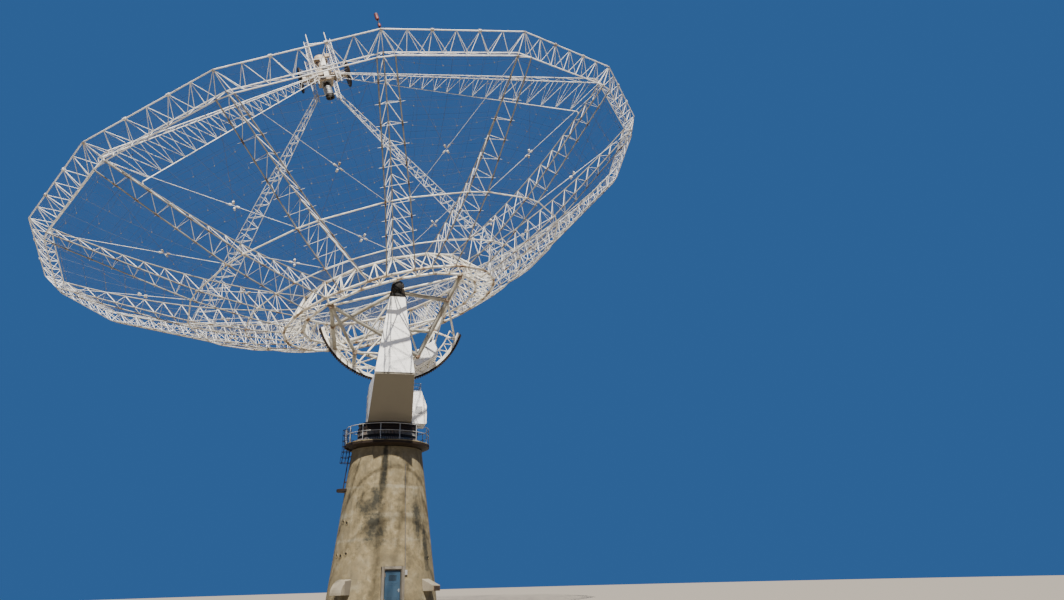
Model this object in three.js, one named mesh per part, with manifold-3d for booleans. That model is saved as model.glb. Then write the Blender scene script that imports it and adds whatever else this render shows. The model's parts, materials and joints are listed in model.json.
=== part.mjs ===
// Radio telescope: a wire-mesh dish of 45 m on a concrete tower, as a scale model at 1:2.
// +Z is up, the origin is on the tower's axis at ground level, and the near side faces -Y.
import * as THREE from 'three';
import { mergeVertices } from 'three/addons/utils/BufferGeometryUtils.js';
import { ConvexGeometry } from 'three/addons/geometries/ConvexGeometry.js';
import Module from 'manifold-3d';

const wasm = await Module();
wasm.setup();

// Millimetres of the model for each metre of the full-size telescope
const M = 500;
// Clearance between pieces that touch
const GAP = 0.3;
// How far a cutting body goes past what it cuts
const BEYOND = 1;
// Faces closer to flat than this are merged
const FINENESS = 0.05;
const DEG = Math.PI / 180;

// Concrete tower: a hollow cone with a doorway, a floor and a gallery on top
const tower = {
  baseRadius: 3.74 * M, topRadius: 2.45 * M, height: 10.5 * M, wall: 0.35 * M, sides: 36,
  floorThickness: 0.15 * M, galleryRadius: 3.0 * M, galleryThickness: 0.4 * M,
};
// Doorway: angles are measured about Z from -Y towards +X
const doorway = {
  angle: 7.5 * DEG, width: 1.02 * M, height: 2.25 * M, jamb: 0.24 * M, leaf: 0.06 * M,
  clearance: 0.015 * M, cutFrom: 0.6 * M, leafRadius: 3.38 * M,
};
const hinge = { radius: 0.03 * M, height: 0.12 * M, sides: 10, levels: [0.45 * M, 2.0 * M], clearance: 2 };
const railing = { height: 1.12 * M, middle: 0.62 * M, posts: 14, tube: 0.05 * M };
const balcony = { angle: -86 * DEG, radius: 0.6 * M, thickness: 0.22 * M, level: 7.6 * M, sides: 20 };
// The ladder climbs from the balcony to the gallery, and its cage starts over head height
const ladder = {
  angle: balcony.angle, width: 0.45 * M, standOff: 0.15 * M, cageBottom: 9.6 * M, cageRadius: 0.28 * M,
  rungs: 7, hoops: 4, tube: 0.05 * M, rung: 0.035 * M, over: 1.05 * M, hatch: 0.75 * M,
};
const hoods = {
  leftAngle: -45 * DEG, leftSize: 1.0 * M, leftBottom: 0.95 * M,
  rightAngle: 50 * DEG, rightSize: 0.85 * M, rightBottom: 1.05 * M, rightLip: 0.45, embed: 0.35 * M,
};

// Yoke: a slewing drum, a body with two sloping wings, a cabin, and two arms that carry the elevation axis
const drum = { radius: 2.15 * M, top: 11.85 * M, toothRing: 2.3 * M, toothHeight: 0.3 * M, sides: 36 };
const yoke = {
  halfWidth: 1.54 * M, halfLength: 2.2 * M, bottom: 12.25 * M, deck: 14.85 * M,
  kneeHalfWidth: 1.33 * M, kneeLevel: 14.89 * M, lip: 0.06 * M, armInner: 4.85 * M, armOuter: 5.6 * M,
  topOuter: 5.5 * M, topHalfWidth: 0.54 * M, armTop: 20.37 * M,
};
// The machine cabin on the yoke's right side, with a slope over its outer edge
const cabin = { halfLength: 1.0 * M, outer: 2.68 * M, eaves: 13.62 * M, ridge: 2.28 * M, top: 14.76 * M };
// Radial clearance of a shaft in its bearing, and the sides of both
const running = { clearance: 0.5, sides: 16 };
const axis = {
  height: 21.07 * M, shaft: 0.28 * M, shaftOut: 0.1 * M, bearingRadius: 0.44 * M, tilt: 17.2 * DEG,
};
const drive = {
  length: 1.1 * M, width: 0.8 * M, height: 0.62 * M, besideSector: 0.08 * M, motorRadius: 0.2 * M,
  motorReach: 1.3 * M,
};

// Dish: sixteen ribs on a hub ring, a paraboloid above and a curved back below
const dish = {
  ribs: 16, rimRadius: 22.5 * M, focal: 18 * M, vertex: 1.27 * M, skin: 0.03 * M, centre: 1.2 * M,
};
const back = { level: -1.92 * M, slope: 0.1385, curve: 0.01254 / M };
const rib = {
  upperStart: 6.55 * M, upperNodes: [6.55 * M, 11.05 * M, 14.5 * M, 17.915 * M], upperEnd: 21.4 * M,
  lowerStart: 8.03 * M, lowerEnd: 21.76 * M, spreadAtHub: 0.98 * M, spreadAtRim: 0.5 * M,
  chord: 0.12 * M, web: 0.05 * M, nodeGap: 0.16 * M,
  lowerNodes: [8.03 * M, 10.52 * M, 14.07 * M, 21.76 * M], webNodes: [8.03 * M, 14.07 * M, 21.76 * M],
};
const ringBeams = { inner: 10.52 * M, outer: 14.07 * M, width: 0.14 * M, reach: 0.16 * M, skew: 0.002 * M };
const hub = { ringTube: 0.26 * M, web: 0.07 * M, lowerRadius: 6.74 * M, lowerLevel: 0.08 * M };
const rim = { chord: 0.12 * M, web: 0.05 * M };

// Quadripod and focus: a frame that the turret turns in, about an axis along Y
const legs = {
  ribs: [2, 6, 10, 14], chord: 0.1 * M, web: 0.045 * M, heel: 19.3 * M, topLevel: 20.35 * M,
  bays: 3, nodeStep: 0.02,
  footHeight: 0.16 * M, footSpread: 0.45 * M, topReach: 0.02 * M, topRise: 0.2 * M, topSpread: 0.14 * M,
};
const apex = {
  halfX: 0.75 * M, halfY: 1.3 * M, bottom: 19.75 * M, top: 24.6 * M, upper: 23.6 * M, tube: 0.1 * M,
  overAxle: 0.9 * M, plate: 0.4 * M,
};
const turret = {
  level: 21.2 * M, halfBox: 0.6 * M, axle: 0.15 * M, axleOut: 0.05 * M, feedReach: 2.0 * M,
  discRadius: 1.05 * M, discThickness: 0.05 * M,
  stalk: 0.18 * M, hornRadius: 0.36 * M, hornLength: 1.1 * M, hornWall: 0.05 * M, hornNeck: 0.2 * M,
  flare: 0.1 * M,
  drumRadius: 0.45 * M, drumHeight: 0.9 * M, capBottom: 0.6 * M, capTop: 0.35 * M, capHeight: 0.6 * M,
};

// Cradle under the hub, with the toothed sector and the counterweight
const sector = {
  radius: 5.55 * M, depth: 0.5 * M, thickness: 0.34 * M, tooth: 0.1 * M,
  from: -90 * DEG, to: 56 * DEG, teeth: 60, innerSteps: 12,
};
const cradle = {
  tube: 0.3 * M, thinTube: 0.16 * M, drop: 0.12 * M, corner: 4.65 * M, shaftInner: 4.3 * M,
  lowX: 0.6 * M, lowY: 1.9 * M, lowZ: -4.3 * M, leftX: -3.7 * M, leftY: 2.2 * M, leftZ: -3.0 * M,
  westShare: 0.45, eastShare: 0.3,
  rimRadius: 5.1 * M, rimLeft: -82 * DEG, rimRight: 50 * DEG, rimMiddle: -25 * DEG,
};
const weight = {
  topWidth: 2.6 * M, bottomWidth: 1.82 * M, height: 1.1 * M, length: 3.0 * M,
  angle: 15 * DEG, radius: 4.35 * M,
};

const colours = {
  concrete: [0xa79f90, 0.92, 0], steel: [0xd9d6cc, 0.55, 0.35], galvanised: [0xb9bab6, 0.5, 0.6],
  rust: [0x7a5a44, 0.85, 0.2], dark: [0x2b2b2c, 0.6, 0.4], blue: [0x4d7390, 0.5, 0.3],
  taupe: [0x8d8272, 0.7, 0.2],
};

const Z = new THREE.Vector3(0, 0, 1);
const point = (x, y, z) => new THREE.Vector3(x, y, z);

function material(key) {
  const [color, roughness, metalness] = colours[key];
  return new THREE.MeshStandardMaterial({ color, roughness, metalness });
}

// A closed solid from any closed geometry
function solid(geometry) {
  const shape = geometry.clone();
  shape.deleteAttribute('normal');
  shape.deleteAttribute('uv');
  const merged = mergeVertices(shape);
  const mesh = new wasm.Mesh({
    numProp: 3,
    vertProperties: new Float32Array(merged.attributes.position.array),
    triVerts: new Uint32Array(merged.index.array),
  });
  return new wasm.Manifold(mesh);
}

const join = (solids) => solids.reduce((total, next) => total.add(next));

// The largest connected body of a solid, after a cut has left crumbs
function largest(whole) {
  const bodies = whole.decompose();
  return bodies.reduce((best, body) => (body.volume() > best.volume() ? body : best));
}

function mesh(name, body, key) {
  const { vertProperties, triVerts, numProp } = body.simplify(FINENESS).getMesh();
  const geometry = new THREE.BufferGeometry();
  const positions = new Float32Array((vertProperties.length / numProp) * 3);
  for (let i = 0; i < positions.length / 3; i += 1) {
    positions.set(vertProperties.subarray(i * numProp, i * numProp + 3), i * 3);
  }
  geometry.setAttribute('position', new THREE.BufferAttribute(positions, 3));
  geometry.setIndex(new THREE.BufferAttribute(new Uint32Array(triVerts), 1));
  geometry.computeVertexNormals();
  const piece = new THREE.Mesh(geometry, material(key));
  piece.name = name;
  return piece;
}

const block = (sx, sy, sz, x, y, z) => solid(new THREE.BoxGeometry(sx, sy, sz).translate(x, y, z));
const hull = (points) => solid(new ConvexGeometry(points));

// A straight bar of rectangular section
function bar(from, to, width, height = width, up = Z) {
  const along = to.clone().sub(from);
  const x = along.clone().normalize();
  const upright = Math.abs(x.dot(up)) > 0.99 ? point(1, 0, 0) : up;
  const y = upright.clone().cross(x).normalize();
  const z = x.clone().cross(y);
  const frame = new THREE.Matrix4().makeBasis(x, y, z).setPosition(from.clone().lerp(to, 0.5));
  return solid(new THREE.BoxGeometry(along.length(), width, height).applyMatrix4(frame));
}

// A round bar of few sides, which can be turned about its own line
function rod(from, to, radius, sides = 3, twist = 0) {
  const along = to.clone().sub(from);
  const turn = new THREE.Quaternion().setFromUnitVectors(point(0, 1, 0), along.clone().normalize());
  const frame = new THREE.Matrix4().makeRotationFromQuaternion(turn).setPosition(from.clone().lerp(to, 0.5));
  const shape = new THREE.CylinderGeometry(radius, radius, along.length(), sides);
  return solid(shape.rotateY(twist).applyMatrix4(frame));
}

// A bore whose flats, and not only its corners, clear the shaft
const boreRadius = (shaft) => (shaft + running.clearance) / Math.cos(Math.PI / running.sides);
// Half a side of turn puts a shaft's corners in front of the flats of its bore
const halfSide = Math.PI / running.sides;

// A cylinder or cone about Z
function upright(radiusBottom, radiusTop, bottom, top, sides) {
  const shape = new THREE.CylinderGeometry(radiusTop, radiusBottom, top - bottom, sides);
  return solid(shape.rotateX(Math.PI / 2).translate(0, 0, (bottom + top) / 2));
}

// A flat shape drawn out along Z, and then set in a frame
function extruded(shape, depth, frame = new THREE.Matrix4()) {
  return solid(new THREE.ExtrudeGeometry(shape, { depth, bevelEnabled: false }).applyMatrix4(frame));
}

// A flat outline, extruded upwards from one level to another
function prism(outline, bottom, top, hole) {
  const shape = new THREE.Shape(outline.map((p) => new THREE.Vector2(p.x, p.y)));
  if (hole) shape.holes.push(new THREE.Path(hole.map((p) => new THREE.Vector2(p.x, p.y))));
  return extruded(shape, top - bottom).translate([0, 0, bottom]);
}

// A bent chord: a square tube whose centre line lies in one upright plane
function bentChord(centres, width) {
  const first = centres[0];
  const run = centres[centres.length - 1].clone().sub(first).setZ(0).normalize();
  const reach = (p) => p.clone().sub(first).dot(run);
  const top = centres.map((p) => new THREE.Vector2(reach(p), p.z + width / 2));
  const bottom = centres.map((p) => new THREE.Vector2(reach(p), p.z - width / 2)).reverse();
  const across = run.clone().cross(Z);
  const corner = first.clone().setZ(0).addScaledVector(across, -width / 2);
  const frame = new THREE.Matrix4().makeBasis(run, Z, across).setPosition(corner);
  return extruded(new THREE.Shape([...top, ...bottom]), width, frame);
}

// The direction at an angle about Z, from -Y towards +X, and a point at a radius along it
const heading = (angle) => point(Math.sin(angle), -Math.cos(angle), 0);
function polar(angle, radius, z, aside = 0) {
  const across = heading(angle + 90 * DEG);
  return heading(angle).multiplyScalar(radius).addScaledVector(across, aside).setZ(z);
}

// An upright wedge between two angles, held back from both planes by half a gap
function wedge(from, to, reach, bottom, top) {
  const middle = (from + to) / 2;
  const half = (to - from) / 2;
  const tip = polar(middle, GAP / 2 / Math.sin(half), 0);
  const outline = [tip, ...[-1, 0, 1].map((side) => polar(middle + side * half, reach, 0).add(tip))];
  return prism(outline, bottom, top);
}

// Tower
const towerRadius = (z) => tower.baseRadius + (tower.topRadius - tower.baseRadius) * (z / tower.height);
const galleryTop = tower.height + GAP + tower.galleryThickness;
const frameHalf = doorway.width / 2 + doorway.jamb;
const frameTop = tower.floorThickness + doorway.height + doorway.jamb;
// A box across the wall at the doorway, grown by a margin
function doorBox(halfWidth, bottom, top, margin = 0) {
  const middle = (bottom + top) / 2;
  const from = polar(doorway.angle, doorway.cutFrom, middle);
  const to = polar(doorway.angle, tower.baseRadius + M, middle);
  return bar(from, to, (halfWidth + margin) * 2, top - bottom + margin * 2);
}

function towerShell() {
  const outer = upright(tower.baseRadius, tower.topRadius, 0, tower.height, tower.sides);
  const [foot, head] = [tower.baseRadius - tower.wall, tower.topRadius - tower.wall];
  const inner = upright(foot, head, -BEYOND, tower.height + BEYOND, tower.sides);
  return outer.subtract(inner);
}

function towerPieces() {
  const shell = towerShell();
  const above = tower.height + BEYOND;
  const doorColumn = doorBox(frameHalf, -BEYOND, above, GAP);
  const [left, right, back] = [-90, 90, 180].map((turn) => doorway.angle + turn * DEG);
  const far = tower.baseRadius * 2;
  const part = (from, to) => shell.intersect(wedge(from, to, far, -BEYOND, above));
  const frontLeft = largest(part(left, doorway.angle).subtract(doorColumn));
  const frontRight = largest(part(doorway.angle, right).subtract(doorColumn));
  const overDoor = largest(shell.intersect(doorBox(frameHalf, frameTop + GAP, above)));
  const floorRadius = towerRadius(tower.floorThickness) - tower.wall - GAP;
  const edge = tower.galleryRadius;
  const slab = upright(edge, edge, tower.height + GAP, galleryTop, tower.sides);
  return [
    mesh('tower_wall_front_left', frontLeft, 'concrete'),
    mesh('tower_wall_front_right', frontRight, 'concrete'),
    mesh('tower_wall_over_door', overDoor, 'concrete'),
    mesh('tower_wall_back_left', part(back - 360 * DEG, left), 'concrete'),
    mesh('tower_wall_back_right', part(right, back), 'concrete'),
    mesh('tower_floor', upright(floorRadius, floorRadius, 0, tower.floorThickness, tower.sides), 'concrete'),
    mesh('gallery_slab', slab.subtract(galleryHatch()), 'rust'),
    mesh('gallery_railing', galleryRailing(galleryTop + GAP), 'galvanised'),
    mesh('balcony', towerBalcony(), 'rust'),
    mesh('tower_ladder', towerLadder(), 'galvanised'),
    mesh('door_frame', doorFrame(), 'concrete'),
    mesh('left_hood', leftHood(), 'concrete'),
    mesh('right_hood', rightHood(), 'concrete'),
  ];
}

// The way that the ladder takes through the gallery
function galleryHatch() {
  const place = (radius) => polar(ladder.angle, radius, galleryTop);
  return bar(place(tower.topRadius + 2 * GAP), place(tower.galleryRadius + M), ladder.hatch, 4 * M);
}

function galleryRailing(bottom) {
  const radius = tower.galleryRadius - railing.tube;
  const corner = (i, z, offset = 0) => polar(((i + 0.5) / railing.posts) * 360 * DEG, radius + offset, z);
  const loop = (offset) => Array.from({ length: railing.posts }, (_, i) => corner(i, 0, offset));
  const rail = (z) => prism(loop(railing.tube / 2), z, z + railing.tube, loop(-railing.tube / 2));
  const posts = Array.from({ length: railing.posts }, (_, i) => (
    bar(corner(i, bottom), corner(i, bottom + railing.height), railing.tube)));
  const rails = [railing.height - railing.tube, railing.middle].map((up) => rail(bottom + up));
  return largest(join([...rails, ...posts]).subtract(galleryHatch()));
}

// Whatever stands against the wall is cut back to its face
function againstWall(body) {
  const clear = upright(tower.baseRadius + GAP, tower.topRadius + GAP, 0, tower.height, tower.sides);
  return largest(body.subtract(clear));
}

function towerBalcony() {
  const top = balcony.level + balcony.thickness;
  const plate = upright(balcony.radius, balcony.radius, balcony.level, top, balcony.sides);
  const centre = polar(balcony.angle, towerRadius(balcony.level), 0);
  return againstWall(plate.translate([centre.x, centre.y, 0]));
}

function towerLadder() {
  const half = ladder.width / 2;
  const bottom = balcony.level + balcony.thickness + GAP;
  const top = galleryTop + ladder.over;
  const line = towerRadius(tower.height) + ladder.standOff;
  const lean = (towerRadius(bottom) - towerRadius(tower.height)) / (tower.height - bottom);
  const reach = (z) => line + lean * Math.max(0, tower.height - z);
  const place = (z, aside, out = 0) => polar(ladder.angle, reach(z) + out, z, aside);
  const bars = [];
  [-half, half].forEach((side) => {
    bars.push(bar(place(bottom - ladder.tube, side), place(tower.height, side), ladder.tube));
    bars.push(bar(place(tower.height - ladder.tube, side), place(top, side), ladder.tube));
  });
  for (let i = 0; i < ladder.rungs; i += 1) {
    const z = bottom + ((top - bottom) * (i + 0.5)) / ladder.rungs;
    bars.push(bar(place(z, -half), place(z, half), ladder.rung));
  }
  const cageStep = (top - ladder.tube - ladder.cageBottom) / (ladder.hoops - 1);
  for (let i = 0; i < ladder.hoops; i += 1) {
    const z = ladder.cageBottom + cageStep * i;
    const corners = [[-half, 0], [-half * 1.3, 1], [0, 2], [half * 1.3, 1], [half, 0]]
      .map(([side, out]) => place(z, side, out * ladder.cageRadius));
    corners.slice(1).forEach((p, j) => bars.push(bar(corners[j], p, ladder.tube)));
  }
  const [cageFoot, cageHead] = [ladder.cageBottom, top].map((z) => place(z, 0, 2 * ladder.cageRadius));
  bars.push(bar(cageFoot, cageHead, ladder.tube));
  const wallReach = ladder.standOff + ladder.tube * 2;
  [bottom + ladder.width, ladder.cageBottom, tower.height - ladder.width].forEach((z) => {
    [-half, half].forEach((side) => bars.push(bar(place(z, side), place(z, side, -wallReach), ladder.tube)));
  });
  return againstWall(join(bars).trimByPlane([0, 0, 1], bottom));
}

// The concrete surround stands in the wall's opening and reaches through it
function doorFrame() {
  const inside = doorway.width / 2;
  const bottom = tower.floorThickness;
  const outer = doorBox(frameHalf, 0, frameTop - GAP, -GAP);
  const opening = doorBox(inside, bottom, bottom + doorway.height);
  const depthFrom = towerRadius(0) - tower.wall - 0.02 * M;
  const middle = frameTop / 2;
  const [inner, face] = [depthFrom, towerRadius(0)].map((radius) => polar(doorway.angle, radius, middle));
  const slab = bar(inner, face, frameHalf * 2 + M, frameTop * 2);
  const body = outer.subtract(opening).intersect(slab).subtract(leafBarrels(hinge.clearance));
  return largest(body.add(frameBarrels()));
}

// A hinge barrel stands on the pin's line, at the leaf's outer edge
function hingeBarrel(z, extra = 0) {
  const side = -(doorway.width / 2 - doorway.clearance);
  const at = polar(doorway.angle, doorway.leafRadius + doorway.leaf, 0, side);
  const radius = hinge.radius + extra;
  const barrel = upright(radius, radius, z - extra, z + hinge.height + extra, hinge.sides);
  return barrel.translate([at.x, at.y, 0]);
}
const barrels = (rise, extra) => join(hinge.levels.map((z) => hingeBarrel(z + rise, extra)));
const leafBarrels = (extra = 0) => barrels(0, extra);
const frameBarrels = (extra = 0) => barrels(hinge.height + GAP, extra);

function doorLeaf() {
  const half = doorway.width / 2 - doorway.clearance;
  const middle = tower.floorThickness + doorway.height / 2;
  const out = doorway.leafRadius;
  const from = polar(doorway.angle, out, middle);
  const to = polar(doorway.angle, out + doorway.leaf, middle);
  const leaf = bar(from, to, half * 2, doorway.height - doorway.clearance * 2);
  return leaf.subtract(frameBarrels(hinge.clearance)).add(leafBarrels());
}

// A quarter-round hood on the left
function leftHood() {
  const steps = 6;
  const profile = [new THREE.Vector2(0, 0)];
  for (let i = 0; i <= steps; i += 1) {
    const a = (i / steps) * 90 * DEG;
    profile.push(new THREE.Vector2(Math.cos(a) * hoods.leftSize, Math.sin(a) * hoods.leftSize));
  }
  const out = heading(hoods.leftAngle);
  const start = polar(hoods.leftAngle, towerRadius(0) - hoods.embed, hoods.leftBottom, hoods.leftSize / 2);
  const frame = new THREE.Matrix4().makeBasis(out, Z, out.clone().cross(Z)).setPosition(start);
  return againstWall(extruded(new THREE.Shape(profile), hoods.leftSize, frame));
}

// A slanted box hood on the right
function rightHood() {
  const half = hoods.rightSize / 2;
  const near = towerRadius(0) - hoods.embed;
  const far = near + hoods.rightSize + hoods.embed / 2;
  const top = hoods.rightBottom + hoods.rightSize;
  const lip = hoods.rightBottom + hoods.rightSize * hoods.rightLip;
  const corners = [-half, half].flatMap((side) => [
    [near, hoods.rightBottom], [near, top], [far, hoods.rightBottom], [far, lip],
  ].map(([radius, z]) => polar(hoods.rightAngle, radius, z, side)));
  return againstWall(hull(corners));
}

// Yoke
function slewingDrum() {
  const bottom = galleryTop + GAP;
  const teeth = upright(drum.toothRing, drum.toothRing, bottom, bottom + drum.toothHeight, drum.sides);
  return upright(drum.radius, drum.radius, bottom, drum.top, drum.sides).add(teeth);
}

// The box between the arms, with a wing under each arm
function yokeBase() {
  const sides = [-1, 1];
  const body = hull(sides.flatMap((x) => sides.flatMap((y) => [yoke.bottom, yoke.deck].map((z) => (
    point(x * yoke.halfWidth, y * yoke.halfLength, z))))));
  const root = yoke.halfLength - yoke.lip;
  const wings = sides.map((y) => hull(sides.flatMap((x) => [
    point(x * yoke.halfWidth, y * root, yoke.bottom),
    point(x * yoke.halfWidth, y * root, yoke.deck),
    point(x * yoke.kneeHalfWidth, y * yoke.armOuter, yoke.kneeLevel - yoke.lip - GAP),
    point(x * yoke.kneeHalfWidth, y * yoke.armOuter, yoke.kneeLevel - GAP),
    point(x * yoke.kneeHalfWidth, y * yoke.armInner, yoke.kneeLevel - GAP),
  ])));
  const neck = upright(drum.radius, drum.radius, drum.top + GAP, yoke.bottom + yoke.lip, drum.sides);
  return join([body, neck, ...wings]);
}

function machineCabin() {
  const inner = yoke.halfWidth + GAP;
  const bottom = yoke.bottom + yoke.lip + GAP;
  return hull([-cabin.halfLength, cabin.halfLength].flatMap((y) => [
    point(inner, y, bottom), point(cabin.outer, y, bottom), point(cabin.outer, y, cabin.eaves),
    point(cabin.ridge, y, cabin.top), point(inner, y, cabin.top),
  ]));
}

function arm(side) {
  return hull([-1, 1].flatMap((x) => [
    point(x * yoke.kneeHalfWidth, side * yoke.armInner, yoke.kneeLevel),
    point(x * yoke.kneeHalfWidth, side * yoke.armOuter, yoke.kneeLevel),
    point(x * yoke.topHalfWidth, side * yoke.armInner, yoke.armTop),
    point(x * yoke.topHalfWidth, side * yoke.topOuter, yoke.armTop),
  ]));
}

function bearing(side) {
  const bottom = yoke.armTop + GAP;
  const inner = side * yoke.armInner;
  const outer = side * yoke.topOuter;
  const at = (y) => point(0, y, axis.height);
  const width = yoke.topHalfWidth * 2;
  const depth = Math.abs(outer - inner);
  const housing = rod(at(inner), at(outer), axis.bearingRadius, running.sides);
  const foot = block(width, depth, axis.height - bottom, 0, (inner + outer) / 2, (axis.height + bottom) / 2);
  const bore = rod(at(inner - side * M), at(outer + side * M), boreRadius(axis.shaft), running.sides);
  return housing.add(foot).subtract(bore);
}

// A gearbox and its motor on the deck, beside the toothed sector
function elevationDrive() {
  const y = sector.thickness / 2 + drive.besideSector + drive.width / 2;
  const base = yoke.deck + GAP;
  const box = block(drive.length, drive.width, drive.height, 0, y, base + drive.height / 2);
  const level = base + drive.height * 0.6;
  const motor = rod(point(0, y, level), point(drive.motorReach, y, level), drive.motorRadius, 10);
  return box.add(motor);
}

// Dish frame: points at a rib, by radius, level along the dish's axis, and distance aside
const ribAngle = (k) => (k * 360 * DEG) / dish.ribs;
const atRib = (k, radius, level, aside = 0) => polar(ribAngle(k), radius, level, aside);
const surface = (r) => dish.vertex + (r * r) / (4 * dish.focal);
const backLevel = (r) => back.level + back.slope * r + back.curve * r * r;
// The lower chord's level between its bends
function chordLevel(r) {
  const after = rib.lowerNodes.findIndex((node) => node > r);
  const [near, far] = [rib.lowerNodes[after - 1], rib.lowerNodes[after]];
  return backLevel(near) + ((backLevel(far) - backLevel(near)) * (r - near)) / (far - near);
}
const spread = (r) => rib.spreadAtHub
  + ((rib.spreadAtRim - rib.spreadAtHub) * (r - rib.lowerStart)) / (rib.lowerEnd - rib.lowerStart);
const upperNode = (k, r) => atRib(k, r, surface(r) - rib.chord / 2);
const lowerNode = (k, r, side) => atRib(k, r, backLevel(r), side * spread(r));

function ribFrame(k, extra = 0) {
  const middles = rib.webNodes.slice(1).map((r, i) => (r + rib.webNodes[i]) / 2);
  const upper = [...rib.upperNodes, rib.upperEnd].map((r) => upperNode(k, r));
  const chord = rib.chord + extra * 2;
  const web = rib.web + extra;
  const pieces = [bentChord(upper, chord)];
  [-1, 1].forEach((side) => {
    pieces.push(bentChord(rib.lowerNodes.map((r) => lowerNode(k, r, side)), chord));
    middles.forEach((r, i) => {
      const [near, far] = [rib.webNodes[i], rib.webNodes[i + 1]];
      pieces.push(rod(upperNode(k, r - rib.nodeGap), lowerNode(k, near + rib.nodeGap, side), web));
      pieces.push(rod(upperNode(k, r + rib.nodeGap), lowerNode(k, far - rib.nodeGap, side), web));
    });
  });
  return join(pieces);
}

// A level ring of straight sides, with one or two corners at each rib
function ringOutline(radius, aside) {
  const corners = [];
  for (let k = 0; k < dish.ribs; k += 1) {
    if (aside) corners.push(atRib(k, radius, 0, -aside));
    corners.push(atRib(k, radius, 0, aside));
  }
  return corners;
}
function ring(radius, level, tube, aside = 0, extra = 0) {
  const half = tube / 2 + extra;
  const [outer, inner] = [radius + half, radius - half].map((reach) => ringOutline(reach, aside));
  return prism(outer, level - half, level + half, inner);
}

function hubTruss(extra = 0) {
  const upperLevel = surface(rib.upperStart - hub.ringTube) - hub.ringTube / 2;
  const backAt = backLevel(rib.lowerStart);
  const pieces = [
    ring(rib.upperStart, upperLevel, hub.ringTube, 0, extra),
    ring(rib.lowerStart, backAt, hub.ringTube, spread(rib.lowerStart), extra),
    ring(hub.lowerRadius, hub.lowerLevel, hub.ringTube, 0, extra),
  ];
  for (let k = 0; k < dish.ribs; k += 1) {
    const up = atRib(k, rib.upperStart, upperLevel);
    const down = atRib(k, hub.lowerRadius, hub.lowerLevel);
    pieces.push(rod(up, down, hub.web + extra));
    [-1, 1].forEach((side) => {
      pieces.push(rod(up, atRib(k, rib.lowerStart, backAt, side * spread(rib.lowerStart)), hub.web + extra));
    });
  }
  return join(pieces);
}

// Rim truss: an outer chord, a top chord and a double-cornered bottom chord
function rimTruss(extra = 0) {
  const outer = surface(dish.rimRadius - rim.chord) - rim.chord / 2;
  const top = surface(rib.upperEnd) - rib.chord / 2;
  const bottom = backLevel(rib.lowerEnd);
  const aside = spread(rib.lowerEnd);
  const pieces = [
    ring(dish.rimRadius - rim.chord / 2, outer, rim.chord, 0, extra),
    ring(rib.upperEnd, top, rim.chord, 0, extra),
    ring(rib.lowerEnd, bottom, rim.chord, aside, extra),
  ];
  const web = rim.web + extra;
  for (let k = 0; k < dish.ribs; k += 1) {
    const corner = atRib(k, dish.rimRadius - rim.chord / 2, outer);
    const next = atRib(k + 1, dish.rimRadius - rim.chord / 2, outer);
    pieces.push(rod(corner, atRib(k, rib.upperEnd, top), web));
    pieces.push(rod(corner, atRib(k, rib.lowerEnd, bottom, aside), web));
    const middle = corner.clone().lerp(next, 0.5);
    pieces.push(rod(middle, atRib(k, rib.lowerEnd, bottom, aside), web));
    pieces.push(rod(middle, atRib(k + 1, rib.lowerEnd, bottom, -aside), web));
  }
  return join(pieces);
}

// A quarter of the reflector sheet, in flat facets between the ribs
function meshQuarter(quarter) {
  const radii = [dish.centre, ...rib.upperNodes, dish.rimRadius];
  const perQuarter = dish.ribs / 4;
  const positions = [];
  const at = (k, r, layer) => atRib(k, r, surface(r) + GAP + layer * dish.skin);
  const quad = (a, b, c, d) => positions.push(a, b, c, a, c, d);
  const first = quarter * perQuarter;
  for (let k = first; k < first + perQuarter; k += 1) {
    for (let i = 0; i + 1 < radii.length; i += 1) {
      const [near, far] = [radii[i], radii[i + 1]];
      quad(at(k, near, 1), at(k, far, 1), at(k + 1, far, 1), at(k + 1, near, 1));
      quad(at(k, near, 0), at(k + 1, near, 0), at(k + 1, far, 0), at(k, far, 0));
    }
    const [inner, outer] = [radii[0], radii[radii.length - 1]];
    quad(at(k, inner, 0), at(k, inner, 1), at(k + 1, inner, 1), at(k + 1, inner, 0));
    quad(at(k, outer, 0), at(k + 1, outer, 0), at(k + 1, outer, 1), at(k, outer, 1));
  }
  for (let i = 0; i + 1 < radii.length; i += 1) {
    const [near, far, last] = [radii[i], radii[i + 1], first + perQuarter];
    quad(at(first, near, 0), at(first, far, 0), at(first, far, 1), at(first, near, 1));
    quad(at(last, near, 0), at(last, near, 1), at(last, far, 1), at(last, far, 0));
  }
  const geometry = new THREE.BufferGeometry().setFromPoints(positions);
  return solid(geometry);
}

// A ring beam hangs just under the lower chords of the ribs
function ringBeam(radius) {
  const inner = radius - ringBeams.width / 2;
  const under = chordLevel(inner - ringBeams.skew) - rib.chord / 2 - GAP;
  const aside = spread(radius) + ringBeams.reach;
  return prism(ringOutline(radius + ringBeams.width / 2, aside), under - ringBeams.width, under,
    ringOutline(inner, aside));
}

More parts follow.
